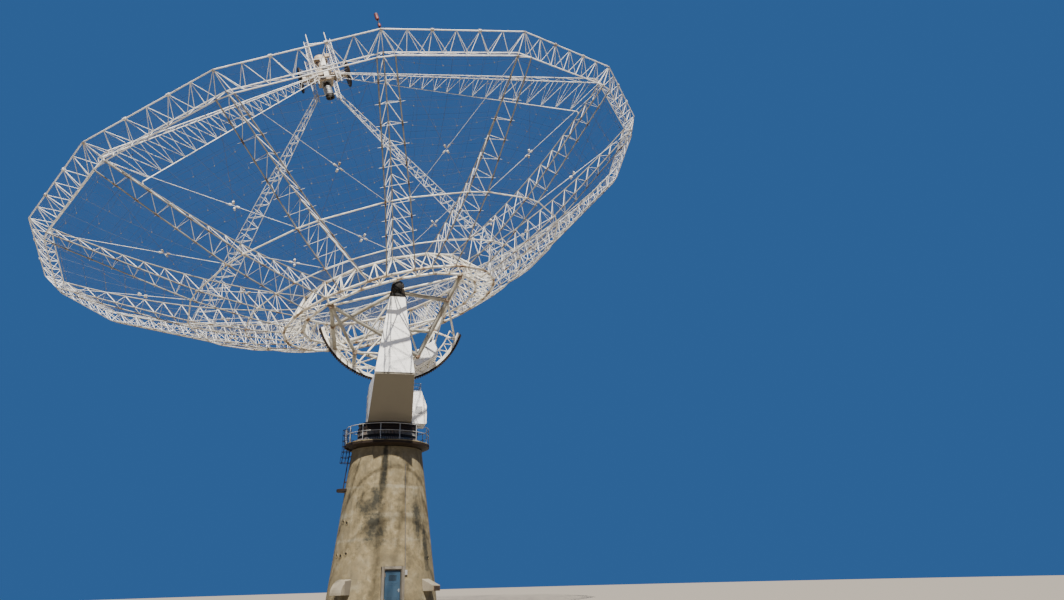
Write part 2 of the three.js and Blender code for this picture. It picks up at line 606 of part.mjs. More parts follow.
// Quadripod leg: two upper chords from the rim and one lower chord from its rib
function leg(k, extra = 0) {
  const base = [
    atRib(k, rib.upperEnd, surface(rib.upperEnd) + legs.footHeight, -legs.footSpread),
    atRib(k, rib.upperEnd, surface(rib.upperEnd) + legs.footHeight, legs.footSpread),
    atRib(k, legs.heel, surface(legs.heel) + legs.footHeight),
  ];
  const chord = legs.chord + extra * 2;
  const outward = heading(ribAngle(k));
  const post = point(Math.sign(outward.x) * apex.halfX, Math.sign(outward.y) * apex.halfY, 0);
  const aside = heading(ribAngle(k) + 90 * DEG);
  const top = [-1, 1].map((side) => (
    post.clone().setZ(legs.topLevel + legs.topRise).addScaledVector(aside, side * legs.topSpread)));
  top.push(post.clone().setZ(legs.topLevel - legs.topRise));
  top.forEach((p) => p.addScaledVector(outward, legs.topReach));
  const along = (i, share) => base[i].clone().lerp(top[i], share);
  const pieces = base.map((p, i) => bar(p, top[i], chord));
  base.forEach((p) => {
    const foot = p.clone().setZ(p.z - legs.footHeight - rib.chord / 2);
    pieces.push(bar(p.clone().setZ(p.z + chord / 2), foot, chord));
  });
  for (let i = 0; i < legs.bays; i += 1) {
    const [low, high] = [i / legs.bays, (i + 1) / legs.bays];
    const step = legs.nodeStep;
    const middle = (low + high) / 2;
    [0, 1].forEach((side) => {
      pieces.push(rod(along(side, low + step), along(2, middle - step), legs.web + extra));
      pieces.push(rod(along(2, middle + step), along(side, high - step), legs.web + extra));
    });
    pieces.push(rod(along(0, middle), along(1, middle), legs.web + extra));
  }
  pieces.push(bar(base[0], base[1], chord), bar(top[0], top[2], chord), bar(top[1], top[2], chord));
  return join(pieces);
}

function apexFrame(extra = 0) {
  const tube = apex.tube + extra * 2;
  const corner = (x, y, z) => point(x * apex.halfX, y * apex.halfY, z);
  const pieces = [];
  const square = [[-1, -1], [1, -1], [1, 1], [-1, 1]];
  square.forEach(([x, y], i) => {
    const [nextX, nextY] = square[(i + 1) % 4];
    pieces.push(bar(corner(x, y, apex.bottom), corner(x, y, apex.top), tube));
    [apex.upper, apex.top - tube / 2].forEach((z) => (
      pieces.push(bar(corner(x, y, z), corner(nextX, nextY, z), tube))));
  });
  // Below, only the near and the far side are tied, so that the feeds can swing between them
  const foot = apex.bottom + tube / 2;
  const over = turret.level + apex.overAxle;
  [-1, 1].forEach((y) => {
    [foot, legs.topLevel].forEach((z) => pieces.push(bar(corner(-1, y, z), corner(1, y, z), tube)));
    pieces.push(bar(corner(-1, y, over), corner(1, y, over), tube));
    pieces.push(bar(corner(0, y, legs.topLevel), corner(0, y, over), apex.plate, tube));
  });
  const [near, far] = [-2 * M, 2 * M].map((y) => point(0, y, turret.level));
  return join(pieces).subtract(rod(near, far, boreRadius(turret.axle), running.sides));
}

function feedTurret() {
  const half = turret.halfBox;
  const sunk = 1;
  const axleHalf = apex.halfY + apex.tube / 2 + turret.axleOut;
  const [near, far] = [-axleHalf, axleHalf].map((y) => point(0, y, turret.level));
  const pieces = [
    block(half * 2, half * 2, half * 2, 0, 0, turret.level),
    rod(near, far, turret.axle, running.sides, halfSide),
  ];
  [-1, 1].forEach((side) => {
    const disc = point(side * turret.feedReach, 0, turret.level);
    const face = point(side * (turret.feedReach + turret.discThickness), 0, turret.level);
    pieces.push(rod(point(side * (half - sunk), 0, turret.level), disc, turret.stalk, 8));
    pieces.push(rod(disc, face, turret.discRadius, 20));
  });
  const drumTop = turret.level + half + turret.drumHeight;
  pieces.push(upright(turret.drumRadius, turret.drumRadius, turret.level + half - sunk, drumTop, 12));
  pieces.push(upright(turret.capBottom, turret.capTop, drumTop - sunk, drumTop + turret.capHeight, 12));
  return join(pieces);
}

function hornFeed() {
  const top = turret.level - turret.halfBox - GAP;
  const bottom = turret.level - turret.feedReach;
  const neck = bottom + turret.hornLength;
  const inside = turret.hornRadius - turret.hornWall;
  const profile = [
    [0, top], [turret.hornNeck, top], [turret.hornNeck, neck + turret.flare], [turret.hornRadius, neck],
    [turret.hornRadius, bottom], [inside, bottom], [inside, neck - turret.flare], [0, neck - turret.flare],
  ].map(([x, y]) => new THREE.Vector2(x, y)).reverse();
  return solid(new THREE.LatheGeometry(profile, 16).rotateX(Math.PI / 2));
}

// The toothed sector turns about the elevation axis, in the upright plane between the arms
function bullGear(extra = 0) {
  const at = (angle, radius) => new THREE.Vector2(Math.sin(angle) * radius, -Math.cos(angle) * radius);
  const outline = [];
  const root = sector.radius - sector.tooth;
  const step = (sector.to - sector.from) / sector.teeth;
  for (let i = 0; i < sector.teeth; i += 1) {
    outline.push(at(sector.from + step * (i + 0.1), root));
    outline.push(at(sector.from + step * (i + 0.5), sector.radius));
  }
  outline.push(at(sector.to, root));
  for (let i = 0; i <= sector.innerSteps; i += 1) {
    const angle = sector.to + ((sector.from - sector.to) * i) / sector.innerSteps;
    outline.push(at(angle, sector.radius - sector.depth - extra));
  }
  outline.push(at(sector.from, root));
  const half = sector.thickness / 2 + extra;
  return extruded(new THREE.Shape(outline), half * 2).translate([0, 0, -half]).rotate([90, 0, 0]);
}

function counterweight() {
  const place = (radial, across, y) => {
    const [sine, cosine] = [Math.sin(weight.angle), Math.cos(weight.angle)];
    return point(sine * radial + cosine * across, y, sine * across - cosine * radial);
  };
  const corners = [-1, 1].flatMap((y) => [-1, 1].flatMap((side) => [
    place(weight.radius - weight.height / 2, side * weight.topWidth / 2, y * weight.length / 2),
    place(weight.radius + weight.height / 2, side * weight.bottomWidth / 2, y * weight.length / 2),
  ]));
  return hull(corners);
}

// Thick tubes from the hub's four corners down to the sector and the weight, and to the shaft stubs
function cradleFrame(extra = 0) {
  const tube = cradle.tube + extra * 2;
  const thin = cradle.thinTube + extra * 2;
  const level = hub.lowerLevel - cradle.drop;
  const low = (y) => point(cradle.lowX, y * cradle.lowY, cradle.lowZ);
  const left = (y) => point(cradle.leftX, y * cradle.leftY, cradle.leftZ);
  const rim = (angle) => point(Math.sin(angle) * cradle.rimRadius, 0, -Math.cos(angle) * cradle.rimRadius);
  const pieces = [bar(low(-1), low(1), tube), bar(left(-1), left(1), tube)];
  [-1, 1].forEach((y) => {
    const [west, east] = [-1, 1].map((x) => point(x * cradle.corner, y * cradle.corner, level));
    const shaft = point(0, y * cradle.shaftInner, 0);
    const eastNode = east.clone().lerp(low(y), cradle.eastShare);
    pieces.push(bar(west, low(y), tube), bar(east, low(y), tube), bar(west, left(y), tube));
    pieces.push(bar(left(y), low(y), thin), bar(left(y), rim(cradle.rimLeft), thin));
    pieces.push(bar(shaft, west.clone().lerp(low(y), cradle.westShare), tube), bar(shaft, eastNode, tube));
    pieces.push(bar(eastNode, rim(cradle.rimRight), thin), bar(rim(cradle.rimMiddle), low(y), thin));
    const ends = [y * cradle.shaftInner, y * (yoke.topOuter + axis.shaftOut)].sort((a, b) => a - b);
    const [from, to] = ends.map((reach) => point(0, reach, 0));
    pieces.push(rod(from, to, axis.shaft + extra, running.sides, axis.tilt + halfSide));
  });
  return join(pieces);
}

const telescope = new THREE.Group();
telescope.add(...towerPieces());

const door = new THREE.Group();
door.add(mesh('tower_door', doorLeaf(), 'blue'));
telescope.add(door);

const yokeGroup = new THREE.Group();
yokeGroup.add(
  mesh('slewing_drum', slewingDrum(), 'rust'),
  mesh('yoke_base', yokeBase(), 'taupe'),
  mesh('machine_cabin', machineCabin(), 'steel'),
  mesh('near_arm', arm(-1), 'steel'),
  mesh('far_arm', arm(1), 'steel'),
  mesh('near_bearing', bearing(-1), 'dark'),
  mesh('far_bearing', bearing(1), 'dark'),
  mesh('elevation_drive', elevationDrive(), 'dark'),
);
telescope.add(yokeGroup);

const dishGroup = new THREE.Group();
dishGroup.position.set(0, 0, axis.height);
dishGroup.rotation.y = -axis.tilt;
const hubClear = hubTruss(GAP);
const rimClear = rimTruss(GAP);
dishGroup.add(mesh('hub_truss', hubTruss(), 'steel'));
for (let k = 0; k < dish.ribs; k += 1) {
  const body = largest(ribFrame(k).subtract(hubClear).subtract(rimClear));
  dishGroup.add(mesh(`rib_${String(k).padStart(2, '0')}`, body, 'steel'));
}
const rimWhole = rimTruss();
for (let quarter = 0; quarter < 4; quarter += 1) {
  const start = quarter * 90 * DEG;
  const sliced = rimWhole.intersect(wedge(start, start + 90 * DEG, dish.rimRadius * 1.5, 0, dish.focal));
  dishGroup.add(mesh(`rim_truss_${quarter + 1}`, largest(sliced), 'steel'));
}
for (let quarter = 0; quarter < 4; quarter += 1) {
  const footHoles = leg(legs.ribs[quarter], GAP);
  const sheet = largest(meshQuarter(quarter).subtract(footHoles));
  dishGroup.add(mesh(`reflector_mesh_${quarter + 1}`, sheet, 'galvanised'));
}
dishGroup.add(
  mesh('inner_ring_beam', ringBeam(ringBeams.inner), 'steel'),
  mesh('outer_ring_beam', ringBeam(ringBeams.outer), 'steel'),
);
const gearClear = bullGear(GAP);
const cradleBody = cradleFrame().subtract(gearClear).subtract(hubClear);
const weightBody = counterweight().subtract(cradleFrame(GAP)).subtract(gearClear);
const apexClear = apexFrame(GAP);
legs.ribs.forEach((k, i) => {
  const body = leg(k).subtract(apexClear).subtract(rimClear).subtract(ribFrame(k, GAP));
  dishGroup.add(mesh(`feed_leg_${i + 1}`, largest(body), 'steel'));
});
dishGroup.add(
  mesh('apex_frame', apexFrame(), 'steel'),
  mesh('cradle_frame', largest(cradleBody), 'steel'),
  mesh('bull_gear', bullGear(), 'steel'),
  mesh('counterweight', largest(weightBody), 'steel'),
);
const feedGroup = new THREE.Group();
feedGroup.add(mesh('feed_turret', feedTurret(), 'galvanised'), mesh('horn_feed', hornFeed(), 'galvanised'));
dishGroup.add(feedGroup);
telescope.add(dishGroup);

export default telescope;
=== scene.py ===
# %% [markdown]
# # A radio telescope dish
# This lesson dresses a half-size model of a 45 m radio telescope: sixteen lattice ribs, a reflector of wire
# mesh, a yoke and a concrete tower.
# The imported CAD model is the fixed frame. It says where each thing is and what moves, and nothing here moves
# it. Most of the telescope is steel bar, so one small Geometry Nodes tree makes nearly all of it from lists
# of bars.

# %% Load the fixed frame
import json
import math

import bmesh
import bpy
from mathutils import Matrix, Vector

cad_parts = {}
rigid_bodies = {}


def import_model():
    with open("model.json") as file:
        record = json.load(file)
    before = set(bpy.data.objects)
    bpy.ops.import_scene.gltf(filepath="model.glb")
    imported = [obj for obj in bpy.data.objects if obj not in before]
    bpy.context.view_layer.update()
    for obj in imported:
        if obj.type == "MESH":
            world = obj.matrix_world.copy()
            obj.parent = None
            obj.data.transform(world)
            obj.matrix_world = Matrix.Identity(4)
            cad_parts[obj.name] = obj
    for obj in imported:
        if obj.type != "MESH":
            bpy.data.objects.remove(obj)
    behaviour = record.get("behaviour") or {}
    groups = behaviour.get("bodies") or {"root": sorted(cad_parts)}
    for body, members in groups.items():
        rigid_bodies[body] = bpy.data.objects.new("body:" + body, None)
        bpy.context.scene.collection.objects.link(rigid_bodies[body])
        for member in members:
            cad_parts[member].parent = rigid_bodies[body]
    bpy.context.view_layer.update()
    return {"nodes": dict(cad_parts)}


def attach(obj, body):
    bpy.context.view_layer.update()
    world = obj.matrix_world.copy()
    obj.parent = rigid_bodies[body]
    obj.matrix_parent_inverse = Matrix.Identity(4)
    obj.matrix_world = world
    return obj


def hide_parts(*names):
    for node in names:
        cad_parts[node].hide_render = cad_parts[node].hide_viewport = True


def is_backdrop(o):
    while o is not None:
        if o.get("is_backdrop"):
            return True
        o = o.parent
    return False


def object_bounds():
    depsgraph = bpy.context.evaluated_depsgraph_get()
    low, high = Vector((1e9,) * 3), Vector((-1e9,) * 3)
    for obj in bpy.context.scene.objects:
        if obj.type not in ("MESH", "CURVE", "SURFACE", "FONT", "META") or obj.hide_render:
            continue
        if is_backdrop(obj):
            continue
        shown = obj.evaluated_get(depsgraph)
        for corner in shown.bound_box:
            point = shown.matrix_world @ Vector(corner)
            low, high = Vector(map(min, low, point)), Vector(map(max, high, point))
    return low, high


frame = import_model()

nodes = frame["nodes"]

# %% [markdown]
# ## Camera, light and floor
# The photographer stands a little more than the dish's width away, at eye height, and looks up at it.
# The place, the turn and the lens were fitted to the rim, the ribs and the tower in the photograph.
# One clear sun and an even blue sky are enough, and the thin white bars stand out against the blue.

# %% Place the camera
# Metres of the model for each metre of the real telescope
M = 0.5
CAMERA_PLACE = Vector((-3.275, -56.453, 1.679)) * M
CAMERA_PAN = math.radians(-14.18)
CAMERA_PITCH = math.radians(19.82)
CAMERA_ROLL = math.radians(1.56)
PHOTO_WIDTH = 1064
FOCAL_PIXELS = 772.314
SENSOR = 36.0


def turned_camera():
    """The camera's turn: pan about Z, then pitch, then roll about the line of sight."""
    turn = (Matrix.Rotation(CAMERA_PAN, 3, "Z") @ Matrix.Rotation(CAMERA_PITCH, 3, "X")
            @ Matrix.Rotation(CAMERA_ROLL, 3, "Y"))
    right, forward, up = (turn.col[i].copy() for i in range(3))
    return Matrix((right, up, -forward)).transposed()


camera_data = bpy.data.cameras.new("camera")
camera_data.sensor_width = SENSOR
camera_data.lens = SENSOR * FOCAL_PIXELS / PHOTO_WIDTH
camera_data.clip_end = 500.0
camera = bpy.data.objects.new("camera", camera_data)
bpy.context.scene.collection.objects.link(camera)
camera.matrix_world = Matrix.Translation(CAMERA_PLACE) @ turned_camera().to_4x4()
bpy.context.scene.camera = camera
print("lens:", round(camera_data.lens, 2), "mm")

# %% Light the object
SKY_BLUE, SKY_STRENGTH = (0.045, 0.15, 0.42, 1), 0.75
SUN_COLOUR, SUN_STRENGTH, SUN_WIDTH = (1.0, 0.95, 0.87), 14, math.radians(0.8)
SUN_FROM_ZENITH, SUN_TURN = math.radians(32), math.radians(-5)
FLOOR_RADIUS, FLOOR_DROP, FLOOR_COLOUR = 60, 0.002, (0.187, 0.165, 0.13, 1)

world = bpy.data.worlds.new("studio")
world.use_nodes = True
sky = world.node_tree.nodes["Background"].inputs
sky["Color"].default_value = SKY_BLUE
sky["Strength"].default_value = SKY_STRENGTH
bpy.context.scene.world = world
sun_data = bpy.data.lights.new("sun", "SUN")
sun_data.energy = SUN_STRENGTH
sun_data.color = SUN_COLOUR
sun_data.angle = SUN_WIDTH
sun = bpy.data.objects.new("sun", sun_data)
sun.rotation_euler = (SUN_FROM_ZENITH, 0, SUN_TURN)
bpy.context.scene.collection.objects.link(sun)

bpy.ops.mesh.primitive_circle_add(vertices=96, radius=FLOOR_RADIUS, fill_type="NGON",
                                  location=(0, 0, -FLOOR_DROP))
floor = bpy.context.object
floor.name = "floor"
floor_paint = bpy.data.materials.new("pale_floor")
floor_paint.use_nodes = True
floor_shader = floor_paint.node_tree.nodes["Principled BSDF"]
floor_shader.inputs["Base Color"].default_value = FLOOR_COLOUR
floor_shader.inputs["Roughness"].default_value = 0.9
floor.data.materials.append(floor_paint)
floor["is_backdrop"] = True

# %% [markdown]
# ## Finishes: small node helpers
# Every finish on this telescope is paint or concrete that sun, rain and rust have worked on for decades.
# A shader node group keeps such an effect in one place: it is built once and placed in each material with
# its own colours and amounts. Patterns read Object coordinates, so they keep to the piece when it turns.
# A few of the darker finishes also carry painted shade.

# %% Helpers for node trees
def put(tree, kind, inputs=None, **settings):
    """Adds one node. An input is a plain value, or a socket to link from."""
    node = tree.nodes.new(kind)
    for name, value in settings.items():
        setattr(node, name, value)
    for key, value in (inputs or {}).items():
        socket = node.inputs[key]
        if isinstance(value, bpy.types.NodeSocket):
            tree.links.new(value, socket)
        else:
            socket.default_value = value
    return node


def blend_colours(tree, share, first, second):
    """A colour mix whose share, 0 to 1, may come from a mask."""
    mix = put(tree, "ShaderNodeMix", data_type="RGBA")
    for key, value in ((0, share), (6, first), (7, second)):
        if isinstance(value, bpy.types.NodeSocket):
            tree.links.new(value, mix.inputs[key])
        else:
            mix.inputs[key].default_value = value
    return mix.outputs[2]


def sum_up(tree, operation, first, second, clamp=False):
    """One Math node."""
    return put(tree, "ShaderNodeMath", {0: first, 1: second}, operation=operation,
               use_clamp=clamp).outputs[0]


def add(tree, first, second):
    """The sum of two values or sockets."""
    return sum_up(tree, "ADD", first, second)


def times(tree, first, second, clamp=False):
    """The product of two values or sockets."""
    return sum_up(tree, "MULTIPLY", first, second, clamp)


def ramp(tree, value, low, high, out_low=0.0, out_high=1.0):
    """Values between low and high become out_low to out_high."""
    inputs = {"Value": value, "From Min": low, "From Max": high, "To Min": out_low, "To Max": out_high}
    return put(tree, "ShaderNodeMapRange", inputs).outputs["Result"]


def new_group(name, inputs, outputs):
    """An empty shader group with named sockets."""
    tree = bpy.data.node_groups.new(name, "ShaderNodeTree")
    kinds = {"colour": "NodeSocketColor", "value": "NodeSocketFloat"}
    for label, kind, default in inputs:
        tree.interface.new_socket(label, in_out="INPUT", socket_type=kinds[kind]).default_value = default
    for label, kind in outputs:
        tree.interface.new_socket(label, in_out="OUTPUT", socket_type=kinds[kind])
    return tree, tree.nodes.new("NodeGroupInput").outputs, tree.nodes.new("NodeGroupOutput").inputs


# %% [markdown]
# ### Weathered paint
# Old paint fades in patches, gathers grey dust and breaks out in rust where bars meet.
# Two noises do the work: a broad one for the patches and a fine one for specks and a slight roughness.
# The bars carry an attribute called joint, which is 1 at their ends, and the rust follows it.

# %% Build the weathered paint group
def weathered_group():
    grey, brown = (0.5, 0.45, 0.36, 1), (0.21, 0.085, 0.035, 1)
    tree, given, result = new_group("weathered paint", [
        ("Paint", "colour", (0.8, 0.8, 0.75, 1)), ("Dust", "colour", grey), ("Rust", "colour", brown),
        ("Patch scale", "value", 1.5), ("Dust amount", "value", 0.5), ("Rust amount", "value", 0.5),
        ("Joint", "value", 0.0),
    ], [("Colour", "colour"), ("Roughness", "value"), ("Height", "value")])
    place = put(tree, "ShaderNodeTexCoord").outputs["Object"]
    patches = put(tree, "ShaderNodeTexNoise", {
        "Vector": place, "Scale": given["Patch scale"], "Detail": 5.0, "Roughness": 0.65}).outputs["Fac"]
    specks = put(tree, "ShaderNodeTexNoise", {
        "Vector": place, "Scale": 42.0, "Detail": 4.0, "Roughness": 0.7}).outputs["Fac"]
    grime = add(tree, ramp(tree, patches, 0.38, 0.68), times(tree, given["Joint"], 0.55))
    dust = times(tree, grime, given["Dust amount"], clamp=True)
    colour = blend_colours(tree, dust, given["Paint"], given["Dust"])
    # Rust takes hold at the joints first, and in a few bad patches elsewhere
    broken = add(tree, times(tree, patches, 0.55), times(tree, specks, 0.45))
    reach = add(tree, broken, times(tree, given["Joint"], 0.2))
    rust = times(tree, ramp(tree, reach, 0.66, 0.8), given["Rust amount"], clamp=True)
    tree.links.new(blend_colours(tree, rust, colour, given["Rust"]), result["Colour"])
    rough = add(tree, ramp(tree, specks, 0.3, 0.7, 0.42, 0.62), times(tree, rust, 0.3))
    tree.links.new(rough, result["Roughness"])
    tree.links.new(add(tree, specks, rust), result["Height"])
    return tree


WEATHERED = weathered_group()


def surface_of(material):
    """Clears a material and gives back its tree and its Principled BSDF."""
    material.use_nodes = True
    tree = material.node_tree
    tree.nodes.clear()
    shader = tree.nodes.new("ShaderNodeBsdfPrincipled")
    output = tree.nodes.new("ShaderNodeOutputMaterial")
    tree.links.new(shader.outputs[0], output.inputs[0])
    return tree, shader


def painted(name, paint, dust, rust, scale=2.5, dusty=0.5, rusty=0.6, metallic=0.0, shine=0.5):
    """A painted or bare metal that has aged. Its joints rust first."""
    material = bpy.data.materials.new(name)
    tree, shader = surface_of(material)
    joint = put(tree, "ShaderNodeAttribute", attribute_name="joint").outputs["Fac"]
    worn = put(tree, "ShaderNodeGroup", node_tree=WEATHERED)
    for label, colour in (("Paint", paint), ("Dust", dust), ("Rust", rust)):
        worn.inputs[label].default_value = (*colour, 1)
    for label, value in (("Patch scale", scale), ("Dust amount", dusty), ("Rust amount", rusty)):
        worn.inputs[label].default_value = value
    tree.links.new(joint, worn.inputs["Joint"])
    tree.links.new(worn.outputs["Colour"], shader.inputs["Base Color"])
    tree.links.new(worn.outputs["Roughness"], shader.inputs["Roughness"])
    shader.inputs["Metallic"].default_value = metallic
    shader.inputs["Specular IOR Level"].default_value = shine
    relief = put(tree, "ShaderNodeBump",
                 {"Height": worn.outputs["Height"], "Strength": 0.25, "Distance": 0.02})
    tree.links.new(relief.outputs[0], shader.inputs["Normal"])
    return material


# %% Mix the metal finishes
CREAM = painted("cream_paint", (0.92, 0.90, 0.80), (0.34, 0.25, 0.14), (0.12, 0.05, 0.02), dusty=0.8,
                rusty=0.9)
COOL_WHITE = painted("cool_white", (0.92, 0.92, 0.89), (0.36, 0.30, 0.21), (0.12, 0.05, 0.02), dusty=0.6,
                     rusty=0.8)
# The chords' darker grey is partly rust and partly painted shade.
CHORD_RUST_AND_SHADE = painted("chord_rust_and_shade", (0.36, 0.345, 0.30), (0.18, 0.15, 0.105), (0.075, 0.035, 0.016),
                      dusty=0.7, rusty=0.9)
# The thick tubes' paint is darker than cream: dirt, and partly painted shade.
TUBE_PAINT_AND_SHADE = painted("tube_paint_and_shade", (0.46, 0.44, 0.37), (0.20, 0.165, 0.11), (0.10, 0.042, 0.018), scale=1.6,
                     dusty=0.9, rusty=0.8)
RUSTY_CREAM = painted("rusty_cream", (0.44, 0.35, 0.23), (0.16, 0.08, 0.035), (0.10, 0.038, 0.018),
                      scale=3.5, dusty=0.85, rusty=1.0)
PANEL_WHITE = painted("panel_white", (0.95, 0.95, 0.92), (0.58, 0.52, 0.41), (0.24, 0.12, 0.05), scale=0.9,
                      dusty=0.35, rusty=0.3)
# Taupe is painted shade: the yoke is white, and this tint stands in for the shade on its front and under
# faces.
TAUPE_SHADE = painted("taupe_paint", (0.20, 0.18, 0.14), (0.23, 0.21, 0.16), (0.12, 0.07, 0.035), scale=0.8,
                dusty=0.3, rusty=0.15, shine=0.15)
FRAME_GREY = painted("frame_grey", (0.115, 0.10, 0.078), (0.18, 0.155, 0.115), (0.10, 0.07, 0.05), scale=2.0,
                     dusty=0.6, rusty=0.3)
# Near-black rust. On the gallery slab, the wide feeds and the ladder its darkness is partly painted shade.
DARK_RUST_AND_SHADE = painted("dark_rust_and_shade", (0.018, 0.013, 0.010), (0.045, 0.030, 0.020), (0.09, 0.032, 0.013),
                    rusty=0.9, shine=0.1)
HOOD_PAINT = painted("hood_paint", (0.23, 0.20, 0.145), (0.145, 0.118, 0.076), (0.16, 0.06, 0.025),
                     scale=3.0, dusty=0.6)
RUSTY = painted("rusty_steel", (0.15, 0.095, 0.055), (0.25, 0.185, 0.115), (0.14, 0.055, 0.022), scale=2.2,
                dusty=0.6, rusty=0.8)
DARK = painted("greasy_steel", (0.010, 0.0095, 0.009), (0.026, 0.021, 0.017), (0.10, 0.045, 0.025),
               scale=2.0, dusty=0.4, rusty=0.25, metallic=0.2, shine=0.25)
GALVANISED = painted("dull_zinc", (0.35, 0.36, 0.36), (0.27, 0.25, 0.215), (0.22, 0.10, 0.05), scale=3.0,
                     rusty=0.5, metallic=0.35)
MOTOR_GREY = painted("motor_grey", (0.28, 0.28, 0.27), (0.18, 0.17, 0.145), (0.14, 0.07, 0.04), scale=4.0,
                     rusty=0.25, metallic=0.4)
ROPE = painted("steel_rope", (0.08, 0.078, 0.075), (0.17, 0.155, 0.135), (0.16, 0.08, 0.04), scale=6.0,
               dusty=0.6, metallic=0.3)
# The door's blue is darkened, partly as painted shade of the recess it stands in.
DOOR_BLUE_AND_SHADE = painted("door_blue_and_shade", (0.012, 0.042, 0.078), (0.035, 0.06, 0.082), (0.16, 0.07, 0.03), scale=2.4)
LAMP_RED = painted("lamp_red", (0.20, 0.02, 0.015), (0.12, 0.04, 0.03), (0.05, 0.02, 0.015), scale=6.0,
                   rusty=0.4)
print("finishes so far:", len(bpy.data.materials))

# %% [markdown]
# ## Bars from lists
# A lattice is a list of bars, each with two ends and a radius. A bar could be a cylinder object of its own,
# but thousands of objects are slow, so the bars of a piece go into one mesh of loose edges.
# A Geometry Nodes tree turns each run of edges into a curve and sweeps a small polygon along it. The points
# carry the radius, and the joint attribute that the rust follows, and both reach the swept mesh.

# %% Build the tree that sweeps bars
def node_tree(name, inputs):
    """A Geometry Nodes tree: a mesh goes in and out, with named inputs. Returns the tree, ins and outs."""
    tree = bpy.data.node_groups.new(name, "GeometryNodeTree")
    tree.interface.new_socket("Mesh", in_out="INPUT", socket_type="NodeSocketGeometry")
    for label, kind in inputs:
        tree.interface.new_socket(label, in_out="INPUT", socket_type=kind)
    tree.interface.new_socket("Mesh", in_out="OUTPUT", socket_type="NodeSocketGeometry")
    return tree, tree.nodes.new("NodeGroupInput").outputs, tree.nodes.new("NodeGroupOutput").inputs


def finish_tree(tree, geometry, material, result):
    """Every tree ends in Realize Instances and Set Material."""
    real = put(tree, "GeometryNodeRealizeInstances", {0: geometry}).outputs[0]
    painted_mesh = put(tree, "GeometryNodeSetMaterial", {"Geometry": real, "Material": material})
    tree.links.new(painted_mesh.outputs[0], result["Mesh"])


def sweep_tree():
    tree, given, result = node_tree("sweep bars", [
        ("Sides", "NodeSocketInt"), ("Smooth", "NodeSocketBool"), ("Material", "NodeSocketMaterial")])
    curves = put(tree, "GeometryNodeMeshToCurve", {"Mesh": given["Mesh"]})
    thickness = put(tree, "GeometryNodeInputNamedAttribute", {"Name": "thickness"}, data_type="FLOAT")
    sized = put(tree, "GeometryNodeSetCurveRadius", {0: curves.outputs[0], "Radius": thickness.outputs[0]})
    section = put(tree, "GeometryNodeCurvePrimitiveCircle", {"Resolution": given["Sides"], "Radius": 1.0})
    swept = put(tree, "GeometryNodeCurveToMesh", {
        "Curve": sized.outputs[0], "Profile Curve": section.outputs[0], "Fill Caps": True})
    if "Scale" in swept.inputs:
        tree.links.new(thickness.outputs[0], swept.inputs["Scale"])
    shaded = put(tree, "GeometryNodeSetShadeSmooth", {0: swept.outputs[0], "Shade Smooth": given["Smooth"]})
    finish_tree(tree, shaded.outputs[0], given["Material"], result)
    return tree


SWEEP = sweep_tree()


def run_tree(name, source, tree, settings):
    """Runs a tree on a mesh and keeps the plain mesh that comes out."""
    carrier = bpy.data.objects.new(name + "_source", source)
    bpy.context.scene.collection.objects.link(carrier)
    modifier = carrier.modifiers.new("nodes", "NODES")
    modifier.node_group = tree
    for item in tree.interface.items_tree:
        if item.in_out == "INPUT" and item.name in settings:
            modifier[item.identifier] = settings[item.name]
    depsgraph = bpy.context.evaluated_depsgraph_get()
    result = bpy.data.meshes.new_from_object(carrier.evaluated_get(depsgraph))
    result.name = name
    bpy.data.objects.remove(carrier)
    return result


def as_piece(name, meshes, body, replaced):
    """Joins meshes into one piece that rides on a body and stands for CAD nodes."""
    joined = bmesh.new()
    materials = []
    for mesh in meshes:
        start = len(joined.faces)
        joined.from_mesh(mesh)
        joined.faces.ensure_lookup_table()
        places = []
        for material in mesh.materials:
            if material not in materials:
                materials.append(material)
            places.append(materials.index(material))
        for face in joined.faces[start:]:
            face.material_index = places[min(face.material_index, len(places) - 1)]
        bpy.data.meshes.remove(mesh)
    whole = bpy.data.meshes.new(name)
    joined.to_mesh(whole)
    joined.free()
    for material in materials:
        whole.materials.append(material)
    piece = bpy.data.objects.new(name, whole)
    bpy.context.scene.collection.objects.link(piece)
    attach(piece, body)
    if replaced:
        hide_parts(*replaced)


def bar_mesh(name, bars, material, sides=5, smooth=True, grip=0.22, place=Matrix()):
    """One mesh from (start, end, radius) bars, or (points, radius) runs, given in real metres."""
    points, edges, thickness, joint = [], [], [], []
    for *ends, radius in bars:
        run = ends if len(ends) == 2 else ends[0]
        marks = [1.0] * len(run)
        if len(run) == 2 and grip and (run[1] - run[0]).length > 3 * grip:
            step = (run[1] - run[0]).normalized() * grip
            run = [run[0], run[0] + step, run[1] - step, run[1]]
            marks = [1.0, 0.0, 0.0, 1.0]
        elif len(run) > 2:
            marks = [0.35] * len(run)
        first = len(points)
        points += [place @ (p * M) for p in run]
        edges += [(first + i, first + i + 1) for i in range(len(run) - 1)]
        thickness += [radius * M] * len(run)
        joint += marks
    source = bpy.data.meshes.new(name + "_bars")
    source.from_pydata(points, edges, [])
    for label, values in (("thickness", thickness), ("joint", joint)):
        source.attributes.new(label, "FLOAT", "POINT").data.foreach_set("value", values)
    mesh = run_tree(name, source, SWEEP, {"Sides": sides, "Smooth": smooth, "Material": material})
    bpy.data.meshes.remove(source)
    return mesh


def chain(points, radius, closed=False):
    """Bars from each point to the next."""
    after = points[1:] + points[:1] if closed else points[1:]
    return [(a, b, radius) for a, b in zip(points, after)]


def placed(x, y, z, turn=0.0, axis="X"):
    """A place in real metres, with a turn about one axis."""
    return Matrix.Translation(Vector((x, y, z)) * M) @ Matrix.Rotation(turn, 4, axis)


